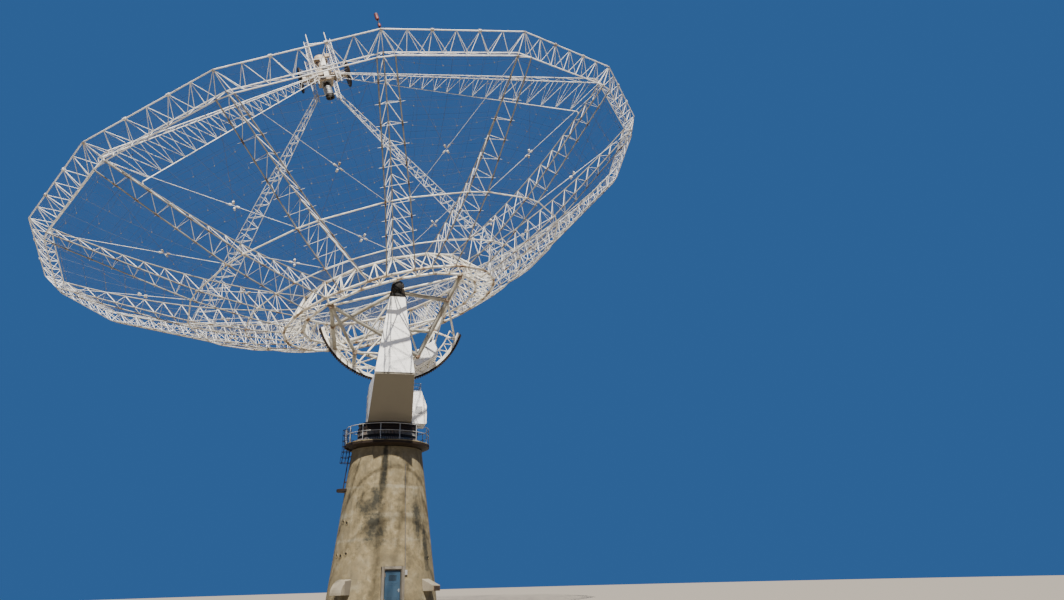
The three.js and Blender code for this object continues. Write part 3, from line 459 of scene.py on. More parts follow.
# %% [markdown]
# ## Where the dish's points are
# The dish is drawn in its own frame, with its axis along Z, and then leaned back as it stands in the
# photograph. A point is named by its rib, its radius, its level and its distance aside, all in metres of the
# real telescope.

# %% Name the dish's points
AXIS_HEIGHT = 21.07
TILT = math.radians(17.2)
RIBS = 16
RIBS_IN_QUARTER = RIBS // 4
DISH = placed(0, 0, AXIS_HEIGHT, -TILT, "Y")
FOCAL, VERTEX = 18.0, 1.27
# Radii of the bends in the ribs' lower chords: at the hub, at both ring beams and at the rim
BENDS = (8.03, 10.52, 14.07, 21.76)
RIB_START, INNER_RING, OUTER_RING, RIB_END = BENDS
RIM_RADIUS, RIM_OUTER, RIM_TOP = 22.5, 22.44, 21.4
HUB_UPPER, HUB_LOWER, HUB_BACK = 6.55, 6.74, 0.08
# Level of the lower chords as a constant, a slope and a curvature
BACK_CONSTANT, BACK_SLOPE, BACK_CURVE = -1.92, 0.1385, 0.01254
SPREAD_AT_HUB, SPREAD_LOSS = 0.98, 0.48
CHORD_UNDER_MESH = 0.06
UP = Vector((0, 0, 1))


def polar(angle, radius, level, aside=0.0):
    """A point at an angle about Z, from -Y towards +X."""
    return Vector((radius * math.sin(angle) + aside * math.cos(angle),
                   aside * math.sin(angle) - radius * math.cos(angle), level))


def at_rib(k, radius, level, aside=0.0):
    """A point of the dish by its rib, which may lie between two, such as rib 2.5."""
    return polar(k * math.tau / RIBS, radius, level, aside)


def dish_level(radius):
    """The paraboloid of the reflector."""
    return VERTEX + radius * radius / (4 * FOCAL)


def back_level(radius):
    """The level of the ribs' lower chords at their bends."""
    return BACK_CONSTANT + BACK_SLOPE * radius + BACK_CURVE * radius * radius


def chord_level(radius):
    """The lower chord runs straight between its bends."""
    near, far = next((a, b) for a, b in zip(BENDS, BENDS[1:]) if radius <= b + 1e-6)
    share = (radius - near) / (far - near)
    return back_level(near) * (1 - share) + back_level(far) * share


def half_spread(radius):
    """Half the distance between a rib's two lower chords."""
    return SPREAD_AT_HUB - SPREAD_LOSS * (radius - RIB_START) / (RIB_END - RIB_START)


def upper(k, radius):
    """A point of a rib's upper chord."""
    return at_rib(k, radius, dish_level(radius) - CHORD_UNDER_MESH)


def lower(k, radius, side):
    """A point of one of a rib's two lower chords."""
    return at_rib(k, radius, chord_level(radius), side * half_spread(radius))


print("rim level:", round(dish_level(RIM_RADIUS), 2), "m over the elevation axis")

# %% [markdown]
# ## The sixteen ribs
# A rib is a three-chord truss, deep at the hub and shallow at the rim: one chord follows the reflector and
# two lie behind it. Twelve panels of zigzag bars hold them apart, each with a thicker and a thinner bar on
# either side. A rung joins the lower chords between panels and reaches a little past both.

# %% Weld the ribs
PANELS = 12
PANEL = (RIB_END - RIB_START) / PANELS
CHORD, WEB, THIN_WEB, OVERHANG = 0.043, 0.022, 0.012, 0.28


def rib_bars(k):
    low = [RIB_START + PANEL * i for i in range(PANELS + 1)]
    high = [HUB_UPPER] + [r + PANEL / 2 for r in low[:-1]] + [RIM_TOP]
    bars = [([upper(k, r) for r in high], CHORD)]
    for side in (-1, 1):
        bars.append(([lower(k, r, side) for r in low], CHORD))
        bars.append((upper(k, high[0]), lower(k, low[0], side), WEB))
        for i in range(PANELS):
            bars.append((lower(k, low[i], side), upper(k, high[i + 1]), WEB))
            bars.append((upper(k, high[i + 1]), lower(k, low[i + 1], side), THIN_WEB))
    # All rungs but the first and the last reach past the chords
    aside = polar(k * math.tau / RIBS, 0, 0, 1)
    for r in low:
        reach = OVERHANG if low[0] < r < low[-1] else 0
        bars.append((lower(k, r, -1) - aside * reach, lower(k, r, 1) + aside * reach, THIN_WEB))
    return bars


def sleeves(points, direction, radius, length=0.3):
    """Short thicker sleeves where bars are welded to a chord."""
    return [(p - direction * length / 2, p + direction * length / 2, radius) for p in points]


for k in range(RIBS):
    bars = rib_bars(k)
    for i in range(1, PANELS):
        r = RIB_START + PANEL * i
        for side in (-1, 1):
            along = (lower(k, r + 0.05, side) - lower(k, r - 0.05, side)).normalized()
            bars += sleeves([lower(k, r, side)], along, CHORD * 1.35)
    # The chords are darker than the bars between them: partly rust, partly painted shade
    chords = bar_mesh("chords", [bar for bar in bars if bar[-1] >= CHORD], CHORD_RUST_AND_SHADE, place=DISH)
    webs = bar_mesh("webs", [bar for bar in bars if bar[-1] < CHORD], COOL_WHITE, place=DISH)
    as_piece(f"rib_lattice_{k:02d}", [chords, webs], "dish", [f"rib_{k:02d}"])
print("bars in a rib:", len(bars))

# %% [markdown]
# ## The rim
# Three chords run round the rim: the outer edge, a second chord inside it and one behind. Between two ribs
# the zigzags make six panels, and a thick short nut sits on the outer edge at each third of a bay.
# It is made in four quarters, as it is in the frame.

# %% Weld the rim
RIM_PANELS = 6
EDGE_LEVEL = dish_level(22.38) + 0.04
NUT_HALF, NUT_RADIUS = 0.09, 0.09


def rim_bars(k):
    edge = [at_rib(k + s, RIM_OUTER, EDGE_LEVEL) for s in (0, 1)]
    top = [upper(k + s, RIM_TOP) for s in (0, 1)]
    behind = [lower(k, RIB_END, 1), lower(k + 1, RIB_END, -1)]
    bars = [(*edge, CHORD * 0.9), (*top, CHORD * 0.9), (*behind, CHORD * 0.9)]
    bars.append((lower(k, RIB_END, -1), behind[0], CHORD * 0.9))
    bars += [(edge[0], top[0], WEB), (top[0], behind[0], WEB), (top[1], behind[1], WEB),
             (edge[0], behind[0], WEB), (edge[1], behind[1], WEB)]
    along = (edge[1] - edge[0]).normalized()
    for i in range(RIM_PANELS):
        here, middle, there = i / RIM_PANELS, (i + 0.5) / RIM_PANELS, (i + 1) / RIM_PANELS
        a, b = edge[0].lerp(edge[1], here), edge[0].lerp(edge[1], there)
        t, c = top[0].lerp(top[1], middle), behind[0].lerp(behind[1], middle)
        bars += [(a, c, WEB * 0.9), (c, b, WEB * 0.9), (a, t, WEB * 0.8), (t, b, WEB * 0.8),
                 (t, c, WEB * 0.8)]
        if i:
            bars.append((top[0].lerp(top[1], (i - 0.5) / RIM_PANELS), c, WEB * 0.7))
    for share in (1 / 3, 2 / 3):
        nut = edge[0].lerp(edge[1], share)
        bars.append((nut - along * NUT_HALF, nut + along * NUT_HALF, NUT_RADIUS))
    return bars


for quarter in range(4):
    bars = [bar for k in range(quarter * RIBS_IN_QUARTER, (quarter + 1) * RIBS_IN_QUARTER)
            for bar in rim_bars(k)]
    lattice = bar_mesh(f"rim_lattice_{quarter + 1}", bars, COOL_WHITE, place=DISH)
    as_piece(f"rim_lattice_{quarter + 1}", [lattice], "dish", [f"rim_truss_{quarter + 1}"])
print("bars in a quarter of the rim:", len(bars))

# %% [markdown]
# ## Ring beams and crossed ties
# Two ring beams tie the ribs together, and crossed ties stiffen every bay between them and out to the rim.
# Of each cross one tie is a rod and the other a thin rope, and each has a turnbuckle on either side of the
# place where they meet.

# %% Weld the rings and hang the ties
TIE_ROD, TIE_ROPE, BUCKLE_RADIUS, BUCKLE_LENGTH = 0.014, 0.009, 0.07, 0.18


def ring_bars(radius, tube):
    """A ring beam: straight tubes between ribs, and a cross tube under each rib."""
    bars = []
    level = chord_level(radius) - 0.1
    aside = half_spread(radius)
    for k in range(RIBS):
        left, right = at_rib(k, radius, level, -aside), at_rib(k, radius, level, aside)
        bars += [(left, right, tube), (right, at_rib(k + 1, radius, level, -aside), tube)]
        for point in (left, right):
            bars.append((point, point + UP * 0.1, tube * 1.3))
    return bars


def ties(inner, outer):
    """Crossed ties in every bay between two radii: rods, ropes and turnbuckles."""
    rods, ropes, buckles = [], [], []
    for k in range(RIBS):
        near, far = ([lower(k, radius, 1), lower(k + 1, radius, -1)] for radius in (inner, outer))
        # The rods lean towards rib 0 on both sides of it
        a = 0 if k < RIBS // 2 else 1
        share = (near[1] - near[0]).length / ((near[1] - near[0]).length + (far[1] - far[0]).length)
        rods.append((near[a], far[1 - a], TIE_ROD))
        ropes.append((near[1 - a], far[a] + UP * 0.03, TIE_ROPE))
        for start, end in ((near[a], far[1 - a]), (near[1 - a], far[a])):
            middle, along = start.lerp(end, share), (end - start).normalized()
            for reach in (-0.32, 0.14):
                buckles.append((middle + along * reach, middle + along * (reach + BUCKLE_LENGTH),
                                BUCKLE_RADIUS))
    return rods, ropes, buckles


for name, node, radius, tube, outward in (
        ("inner_ring_tubes", "inner_ring_beam", INNER_RING, 0.04, OUTER_RING),
        ("outer_ring_tubes", "outer_ring_beam", OUTER_RING, 0.047, RIB_END)):
    rods, ropes, buckles = ties(radius, outward)
    meshes = [bar_mesh(name, ring_bars(radius, tube), CREAM, sides=8, place=DISH),
              bar_mesh(name + "_rods", rods + buckles, COOL_WHITE, sides=4, grip=0.15, place=DISH),
              bar_mesh(name + "_ropes", ropes, ROPE, sides=3, grip=0, place=DISH)]
    as_piece(name, meshes, "dish", [node])
print("ties:", 2 * 2 * RIBS)

# %% [markdown]
# ## The hub
# All ribs start at the hub, three thick rings laced with bars. It carries the whole dish, so its rings are
# thicker than the ribs' chords. Its cream paint has weathered more than the white of the ribs.

# %% Weld the hub
RING_TUBE, LACE = 0.09, 0.036
HUB_TOP = dish_level(6.29) - 0.13


def ring_points(k, radius, level):
    """A corner of a sixteen-sided ring, the middle of the side after it, and the next corner."""
    middle = radius * math.cos(math.pi / RIBS)
    return at_rib(k, radius, level), at_rib(k + 0.5, middle, level), at_rib(k + 1, radius, level)


def hub_bars():
    rings, lacing = [], []
    for k in range(RIBS):
        up, half_up, next_up = ring_points(k, HUB_UPPER, HUB_TOP)
        back, half_back, next_back = ring_points(k, HUB_LOWER, HUB_BACK)
        left, right, beyond = lower(k, RIB_START, -1), lower(k, RIB_START, 1), lower(k + 1, RIB_START, -1)
        rings += [(up, next_up, RING_TUBE), (back, next_back, RING_TUBE), (left, right, RING_TUBE),
                  (right, beyond, RING_TUBE)]
        between = right.lerp(beyond, 0.5)
        lacing += [(up, left, LACE), (up, right, LACE), (half_up, right, LACE), (half_up, beyond, LACE),
                   (back, left, LACE), (back, right, LACE), (half_back, right, LACE),
                   (half_back, beyond, LACE), (up, back, LACE), (half_up, half_back, LACE),
                   (up, half_back, LACE), (half_back, next_up, LACE), (between, half_up, LACE * 0.8),
                   (between, half_back, LACE * 0.8)]
        for point, on in ((up, next_up - up), (back, next_back - back), (left, right - left),
                          (right, beyond - right)):
            rings += sleeves([point], on.normalized(), RING_TUBE * 1.25, 0.34)
    return rings, lacing


rings, lacing = hub_bars()
as_piece("hub_lattice", [bar_mesh("hub_rings", rings, CREAM, sides=12, grip=0.5, place=DISH),
                         bar_mesh("hub_lacing", lacing, CREAM, sides=6, grip=0.3, place=DISH)],
         "dish", ["hub_truss"])
print("bars in the hub:", len(rings) + len(lacing))

# %% [markdown]
# ## The lamp on the rim
# A red lamp on a short post warns aircraft. It stands over rib 0, and the frame has no node for it.

# %% Stand the lamp on the rim
rim_corner = at_rib(0, RIM_OUTER - 0.1, dish_level(RIM_OUTER) - 0.02)
lamp_bars = [(rim_corner, rim_corner + UP * 0.75, 0.03)]
lamp = [(rim_corner + UP * 0.7, rim_corner + UP * 1.05, 0.1),
        (rim_corner + UP * 0.25, rim_corner + UP * 0.4, 0.08)]
lamp_meshes = [bar_mesh("lamp_post", lamp_bars, DARK, sides=6, grip=0, place=DISH),
               bar_mesh("lamp_glass", lamp, LAMP_RED, sides=10, grip=0, place=DISH)]
as_piece("rim_lamp", lamp_meshes, "dish", [])
print("lamps:", 1)

# %% [markdown]
# ## Plates, boxes and turned shapes
# What isn't a bar is a plate, a box or a turned shape. Four helpers make them: a box with softened edges,
# the convex shape round some points, a shape turned on a lathe, and a plate that follows an arc. Each gives
# a mesh in its place, with faces that point outwards.

# %% Helpers for solid shapes
def mesh_from(name, bm, material, place=Matrix(), smooth=False):
    """A finished mesh: placed, its normals outwards, and with its material."""
    bmesh.ops.recalc_face_normals(bm, faces=bm.faces)
    mesh = bpy.data.meshes.new(name)
    bm.to_mesh(mesh)
    bm.free()
    for polygon in mesh.polygons:
        polygon.use_smooth = smooth
    mesh.transform(place)
    mesh.materials.append(material)
    return mesh


def box_mesh(name, size, centre, material, place=Matrix(), *, bevel, turn=Matrix()):
    """A box in real metres, with its edges softened."""
    bm = bmesh.new()
    bmesh.ops.create_cube(bm, size=1.0)
    bmesh.ops.scale(bm, vec=Vector(size) * M, verts=bm.verts)
    bmesh.ops.bevel(bm, geom=bm.edges, offset=bevel * M, segments=2, affect="EDGES", profile=0.6)
    return mesh_from(name, bm, material, place @ Matrix.Translation(Vector(centre) * M) @ turn)


def hull_mesh(name, points, material, place=Matrix(), *, bevel):
    """The convex shape round some points in real metres, with its edges softened."""
    bm = bmesh.new()
    for p in points:
        bm.verts.new(Vector(p) * M)
    bmesh.ops.convex_hull(bm, input=bm.verts)
    bmesh.ops.dissolve_limit(bm, angle_limit=0.01, verts=bm.verts, edges=bm.edges)
    bmesh.ops.bevel(bm, geom=bm.edges, offset=bevel * M, segments=2, affect="EDGES", profile=0.6)
    return mesh_from(name, bm, material, place)


def turned_mesh(name, profile, material, place=Matrix(), *, segments):
    """A closed shape turned about Z from (radius, height) pairs in real metres."""
    bm = bmesh.new()
    rows = []
    for radius, height in profile:
        turns = [math.tau * i / segments for i in range(segments if radius else 1)]
        rows.append([bm.verts.new((radius * M * math.cos(a), radius * M * math.sin(a), height * M))
                     for a in turns])
    pairs = list(zip(rows, rows[1:]))
    if len(rows[0]) > 1:
        pairs.append((rows[-1], rows[0]))
    for low, high in pairs:
        for i in range(segments):
            j = (i + 1) % segments
            corners = [low[i % len(low)], low[j % len(low)], high[j % len(high)], high[i % len(high)]]
            unique = list(dict.fromkeys(corners))
            if len(unique) > 2:
                bm.faces.new(unique)
    mesh = mesh_from(name, bm, material, place, smooth=True)
    mesh.set_sharp_from_angle(angle=math.radians(35))
    return mesh


def arc_mesh(name, stations, half, material, place):
    """A plate along an arc in XZ. A station is an angle from straight down, an inner and an outer radius."""
    bm = bmesh.new()
    rows = []
    for angle, inner, outer in stations:
        across = [(radius * math.sin(angle) * M, y * half * M, -radius * math.cos(angle) * M)
                  for y, radius in ((-1, inner), (-1, outer), (1, outer), (1, inner))]
        rows.append([bm.verts.new(p) for p in across])
    for a, b in zip(rows, rows[1:]):
        for i in range(4):
            bm.faces.new((a[i], a[(i + 1) % 4], b[(i + 1) % 4], b[i]))
    bm.faces.new(rows[0])
    bm.faces.new(rows[-1])
    return mesh_from(name, bm, material, place)


# %% [markdown]
# ## The quadripod
# Four long trusses rise from the rim to the focus. Each has two chords that start at the rim and one that
# starts on its rib, and they close up towards the top.
# They are bars again, so the same sweep makes them.

# %% Weld the four legs
LEG_RIBS = (2, 6, 10, 14)
LEG_PANELS = 19
LEG_CHORD, LEG_WEB, LEG_THIN = 0.032, 0.018, 0.014
POST_X, POST_Y = 0.75, 1.3
LEG_TOP = 20.35
# Radius and distance aside of the three chords' feet, and their height over the mesh
LEG_FEET, FOOT_LIFT = ((RIM_TOP, -0.45), (RIM_TOP, 0.45), (19.3, 0)), 0.16
# How far a leg's top is from its post's middle, sideways and up or down
LEG_TOP_ASIDE, LEG_TOP_HALF = 0.14, 0.2


def leg_bars(k):
    base = [at_rib(k, r, dish_level(r) + FOOT_LIFT, aside) for r, aside in LEG_FEET]
    out = polar(k * math.tau / RIBS, 1, 0)
    aside = polar(k * math.tau / RIBS, 0, 0, 1)
    post = Vector((math.copysign(POST_X, out.x), math.copysign(POST_Y, out.y), LEG_TOP)) + out * 0.02
    top = [post + aside * s * LEG_TOP_ASIDE + UP * LEG_TOP_HALF for s in (-1, 1)]
    top.append(post - UP * LEG_TOP_HALF)
    bars = [(a, b, LEG_CHORD) for a, b in zip(base, top)]
    bars += [(p, p - UP * (FOOT_LIFT + CHORD_UNDER_MESH), LEG_CHORD) for p in base]

    def along(chord, share):
        return base[chord].lerp(top[chord], share)

    for i in range(LEG_PANELS):
        low, middle, high = (i + 0.1) / LEG_PANELS, (i + 0.5) / LEG_PANELS, (i + 0.9) / LEG_PANELS
        for side in (0, 1):
            bars += [(along(side, low), along(2, middle), LEG_WEB),
                     (along(2, middle), along(side, high), LEG_THIN)]
        bars.append((along(0, low), along(1, low), LEG_THIN))
        bars.append((along(i % 2, low), along(1 - i % 2, high), LEG_THIN))
    return bars + [(base[0], base[1], LEG_CHORD), (top[0], top[2], LEG_CHORD), (top[1], top[2], LEG_CHORD)]


for number, k in enumerate(LEG_RIBS, 1):
    lattice = bar_mesh(f"leg_lattice_{number}", leg_bars(k), COOL_WHITE, place=DISH)
    as_piece(f"leg_lattice_{number}", [lattice], "dish", [f"feed_leg_{number}"])
print("bars in a leg:", len(leg_bars(2)))

# %% [markdown]
# ## The frame at the focus
# Four narrow lattice posts stand on the legs, with a square of beams round their top. The turret with the
# feeds hangs between them on an axle, so the middle stays open, and two boxes of electronics sit beside it.

# %% Weld the focus frame
FRAME_FOOT, FRAME_OVER, FRAME_UPPER, FRAME_TOP = 19.8, 22.1, 23.6, 24.55
TURRET_LEVEL = 21.2
POST_WIDE, POST_PANELS = 1.42, 16
POST_CHORD, POST_OUTER, POST_BRACE, TOP_BEAM, AXLE_BEAM = 0.036, 0.032, 0.018, 0.045, 0.035


def corner(x, y, level):
    return Vector((x * POST_X, y * POST_Y, level))


square = [(-1, -1), (1, -1), (1, 1), (-1, 1)]
posts, braces = [], []
for x, y in square:
    wide = x * POST_WIDE
    posts += [(corner(x, y, FRAME_FOOT - 0.05), corner(x, y, FRAME_TOP + 0.05), POST_CHORD),
              (corner(wide, y, FRAME_FOOT - 0.05), corner(wide, y, FRAME_UPPER + 0.3), POST_OUTER)]
    for i in range(POST_PANELS):
        low, high = (FRAME_FOOT + (FRAME_UPPER + 0.25 - FRAME_FOOT) * (i + s) / POST_PANELS for s in (0, 1))
        braces += chain([corner(x, y, low), corner(wide, y, (low + high) / 2), corner(x, y, high)],
                        POST_BRACE)
posts += chain([corner(x, y, FRAME_UPPER) for x, y in square], TOP_BEAM, closed=True)
for y in (-1, 1):
    posts += [(corner(-1, y, level), corner(1, y, level), AXLE_BEAM) for level in (LEG_TOP, FRAME_OVER)]
cage = [bar_mesh("cage_posts", posts, COOL_WHITE, sides=6, grip=0.15, place=DISH),
        bar_mesh("cage_braces", braces, COOL_WHITE, sides=4, grip=0.15, place=DISH)]
for y in (-1, 1):
    cage.append(box_mesh("axle_plate", (0.4, 0.1, FRAME_OVER - LEG_TOP - 0.1),
                         (0, y * POST_Y, (FRAME_OVER + LEG_TOP) / 2), CREAM, DISH, bevel=0.01))
    collar_place = DISH @ placed(0, y * POST_Y, TURRET_LEVEL, math.pi / 2)
    cage.append(turned_mesh("axle_collar", [(0.162, -0.09), (0.24, -0.09), (0.24, 0.09), (0.162, 0.09)],
                            DARK, collar_place, segments=24))
for x, y, level, size in ((0.45, -1.3, 22.3, (0.4, 0.26, 0.3)), (-0.4, 1.3, 22.3, (0.36, 0.26, 0.3))):
    cage.append(box_mesh("electronics", size, (x, y, level), RUSTY_CREAM, DISH, bevel=0.02))
as_piece("focus_cage", cage, "dish", ["apex_frame"])

# %% [markdown]
# ## The turret and its feeds
# The turret is a box on an axle. Four receivers look out of its four sides: two wide plates, a ribbed horn
# and a domed drum. Turning the box brings another one to look down at the dish.
# All of them are round, so they are turned shapes.

# %% Build the turret
TURRET_HALF, FEED_REACH = 0.6, 2.0
turret_at = DISH @ placed(0, 0, TURRET_LEVEL)
axle_reach = POST_Y + 0.1
turret = [box_mesh("turret_box", [2 * TURRET_HALF] * 3, (0, 0, 0), RUSTY_CREAM, turret_at, bevel=0.04)]
for turn in range(4):
    about = Matrix.Rotation(turn * math.pi / 2, 4, "Y")
    turret.append(box_mesh("turret_hatch", (0.8, 0.8, 0.05), (0, 0, TURRET_HALF - 0.01), GALVANISED,
                           turret_at @ about, bevel=0.01))
lying = Matrix.Rotation(math.pi / 2, 4, "X")
axle = [(0, -axle_reach), (0.148, -axle_reach), (0.148, axle_reach), (0, axle_reach)]
turret.append(turned_mesh("axle", axle, DARK, turret_at @ lying, segments=24))
for side in (-1, 1):
    outwards = Matrix.Rotation(side * math.pi / 2, 4, "Y")
    neck = [(0, 0.58), (0.3, 0.58), (0.3, 0.8), (0.42, 0.84), (0.42, 1.3), (0.24, 1.36), (0.24, 1.86),
            (0, 1.87)]
    plate = [(0, 1.85), (0.35, 1.85), (1.0, 1.88), (1.05, 1.92), (1.05, 2.0), (1.0, 2.03), (0.96, 1.98),
             (0.3, 1.97), (0.28, 2.03), (0, 2.03)]
    turret.append(turned_mesh("feed_neck", neck, RUSTY_CREAM, turret_at @ outwards, segments=32))
    # The wide plates are near-black: dark rust, and partly painted shadow.
    turret.append(turned_mesh("wide_feed", plate, DARK_RUST_AND_SHADE, turret_at @ outwards, segments=48))
    stays = [(polar(a, 0.3, 0.7), polar(a, 0.85, 1.88), 0.025) for a in (i * math.tau / 6 for i in range(6))]
    turret.append(bar_mesh("feed_stays", stays, GALVANISED, sides=4, grip=0, place=turret_at @ outwards))
drum = [(0, 0.58), (0.5, 0.58), (0.5, 0.64), (0.44, 0.66), (0.44, 1.4), (0.48, 1.44), (0.6, 1.47),
        (0.6, 1.55), (0.54, 1.75), (0.42, 1.95), (0.22, 2.07), (0, 2.1)]
turret.append(turned_mesh("domed_feed", drum, RUSTY_CREAM, turret_at, segments=32))
as_piece("turret", turret, "feed", ["feed_turret"])

# %% Turn the ribbed horn
HORN_RADIUS = 0.36
mouth, throat = -FEED_REACH, -FEED_REACH + 1.0
lip = mouth + 0.24
collar = [(0, -0.61), (0.26, -0.61), (0.26, -0.68), (0.2, -0.7), (0.2, -0.8), (0.34, -0.82), (0.34, -0.9),
          (0.22, -0.92), (0.22, throat + 0.1), (0, throat + 0.1)]
horn = [(0, throat + 0.12), (0.22, throat + 0.12), (0.31, throat)]
ring_count = 5
for i in range(ring_count):
    top = throat - (throat - lip) * i / ring_count
    low = throat - (throat - lip) * (i + 1) / ring_count
    horn += [(0.31, top), (0.335, top - 0.02), (0.335, low + 0.05), (0.31, low + 0.03)]
horn += [(0.31, lip), (0, lip)]
ring = [(0.33, lip + 0.02), (HORN_RADIUS, lip - 0.02), (HORN_RADIUS, mouth), (0.29, mouth), (0.27, lip),
        (0.1, lip + 0.01), (0, lip + 0.01), (0, lip + 0.02)]
horn_meshes = [turned_mesh("horn_collar", collar, DARK_RUST_AND_SHADE, turret_at, segments=40),
               turned_mesh("horn_body", horn, GALVANISED, turret_at, segments=40),
               turned_mesh("horn_mouth", ring, DARK, turret_at, segments=40)]
as_piece("ribbed_horn", horn_meshes, "feed", ["horn_feed"])
print("feeds:", 4)

# %% [markdown]
# ## The cradle
# Thick tubes run from four corners of the hub down to the counterweight, and to the two stub shafts that the
# dish tilts on. The joints where many tubes meet have gone brown with rust.

# %% Weld the cradle
HUB_CORNER, HUB_CORNER_LEVEL = 4.65, -0.04


def hub_corner(x, y):
    return Vector((x * HUB_CORNER, y * HUB_CORNER, HUB_CORNER_LEVEL))


def cradle_low(y):
    return Vector((0.6, y * 1.9, -4.3))


def cradle_left(y):
    return Vector((-3.7, y * 2.2, -3.0))


def on_sector(angle, radius=5.2):
    a = math.radians(angle)
    return Vector((math.sin(a) * radius, 0, -math.cos(a) * radius))


thick = [(cradle_low(-1), cradle_low(1), 0.15), (cradle_left(-1), cradle_left(1), 0.15)]
thin, knots = [], []
for y in (-1, 1):
    west, east = hub_corner(-1, y), hub_corner(1, y)
    shaft, low, left = Vector((0, y * 4.3, 0)), cradle_low(y), cradle_left(y)
    foot = on_sector(-69, 5.16)
    west_node, east_node = west.lerp(foot, 0.45), east.lerp(low, 0.3)
    thick += [(west, low, 0.14), (east, low, 0.16), (west, left, 0.12), (west, foot, 0.14),
              (shaft, west_node, 0.14), (shaft, east_node, 0.15)]
    thin += [(left, low, 0.08), (left, on_sector(-82), 0.08), (east_node, on_sector(50), 0.08),
             (on_sector(-25), low, 0.08), (shaft, low, 0.07), (shaft, left, 0.07), (west_node, left, 0.06),
             (east_node, low.lerp(cradle_low(-y), 0.3), 0.05), (west_node, cradle_left(-y), 0.045),
             (west, east, 0.08), (west.lerp(east, 0.28), shaft, 0.06), (west.lerp(east, 0.72), shaft, 0.06),
             (left.lerp(low, 0.5), on_sector(-50), 0.05), (east_node, on_sector(15), 0.05)]
    for point, radius in ((west, 0.2), (east, 0.2), (left, 0.18), (low, 0.2), (shaft, 0.3),
                          (west_node, 0.19), (east_node, 0.19)):
        knots.append((point - Vector((0, 0.16, 0)), point + Vector((0, 0.16, 0)), radius))
frame_tubes = [(hub_corner(x, -1), hub_corner(x, 1), 0.1) for x in (-1, 1)]
# The thick tubes' darker paint is partly painted shade.
cradle = [bar_mesh("cradle_thick", thick, TUBE_PAINT_AND_SHADE, sides=12, grip=0.45, place=DISH),
          bar_mesh("cradle_thin", thin + frame_tubes, CREAM, sides=7, grip=0.3, place=DISH),
          bar_mesh("cradle_knots", knots, RUSTY, sides=10, grip=0, smooth=False, place=DISH)]
for y in (-1, 1):
    stub = [(0, 4.1), (0.34, 4.1), (0.34, 4.55), (0.278, 4.6), (0.278, 5.58), (0.2, 5.6), (0, 5.6)]
    sideways = DISH @ Matrix.Rotation(-y * math.pi / 2, 4, "X")
    cradle.append(turned_mesh("stub_shaft", stub, DARK, sideways, segments=40))
as_piece("cradle_tubes", cradle, "dish", ["cradle_frame"])
print("cradle bars:", len(thick) + len(thin))

# %% [markdown]
# ## The toothed sector
# A drive on the yoke tilts the dish by this sector of a giant gear. Its teeth are dark with grease, its side
# plates are painted, and a light lattice stiffens it inside.

# %% Cut the sector
SECTOR_FROM, SECTOR_TO = math.radians(-90), math.radians(56)
TEETH = 76
TOOTH_RING, TOOTH_FOOT, TOOTH_TIP, TOOTH_HALF_WIDTH = 5.22, 5.46, 5.55, 0.155
# Inner and outer radius of the flange inside the teeth, and of the plates on both sides
FLANGE, SIDE_PLATE, SIDE_PLATE_Y = (5.17, 5.23), (5.2, 5.38), 0.145
FLANGE_HALF_WIDTH, SIDE_PLATE_HALF = 0.16, 0.022
WEB_RADIUS = 4.6
teeth = []
pitch = (SECTOR_TO - SECTOR_FROM) / TEETH
for i in range(TEETH):
    start = SECTOR_FROM + i * pitch
    for share, radius in ((0.02, TOOTH_FOOT), (0.28, TOOTH_TIP), (0.52, TOOTH_TIP), (0.78, TOOTH_FOOT)):
        teeth.append((start + share * pitch, TOOTH_RING, radius))
teeth.append((SECTOR_TO, TOOTH_RING, TOOTH_FOOT - 0.02))
arc_steps = [SECTOR_FROM + (SECTOR_TO - SECTOR_FROM) * i / 60 for i in range(61)]
sector = [arc_mesh("teeth", teeth, TOOTH_HALF_WIDTH, DARK_RUST_AND_SHADE, DISH),
          arc_mesh("inner_flange", [(a, *FLANGE) for a in arc_steps], FLANGE_HALF_WIDTH, CREAM, DISH)]
for y in (-1, 1):
    side_place = DISH @ placed(0, y * SIDE_PLATE_Y, 0)
    plate = [(a, *SIDE_PLATE) for a in arc_steps]
    sector.append(arc_mesh("side_plate", plate, SIDE_PLATE_HALF, CREAM, side_place))
inner = [on_sector(math.degrees(a), WEB_RADIUS) for a in arc_steps[::3]]
web = [(inner, 0.05)]
for i in range(len(inner) - 1):
    middle = math.degrees((arc_steps[i * 3] + arc_steps[i * 3 + 3]) / 2)
    web += [(inner[i], on_sector(middle, 5.19), 0.03), (on_sector(middle, 5.19), inner[i + 1], 0.03)]
sector.append(bar_mesh("sector_web", web, CREAM, sides=5, grip=0.1, place=DISH))
as_piece("toothed_sector", sector, "dish", ["bull_gear"])
print("teeth:", TEETH)

# %% [markdown]
# ## The counterweight
# Concrete-filled steel boxes balance the dish. They stand side by side like the slices of a cake.

# %% Stack the weight's boxes
WEIGHT_ANGLE = math.radians(15)
WEIGHT_SLOTS, WEIGHT_ROWS, WEIGHT_HALF, ROW_LENGTH, ROW_GAP = 3, 4, 1.5, 0.75, 0.02
# Radius and width of the upper and the lower side
WEIGHT_SIDES = ((3.82, 2.58), (4.88, 1.8))


def weight_point(radial, across, y):
    a = WEIGHT_ANGLE
    return Vector((math.sin(a) * radial + math.cos(a) * across, y,
                   math.sin(a) * across - math.cos(a) * radial))


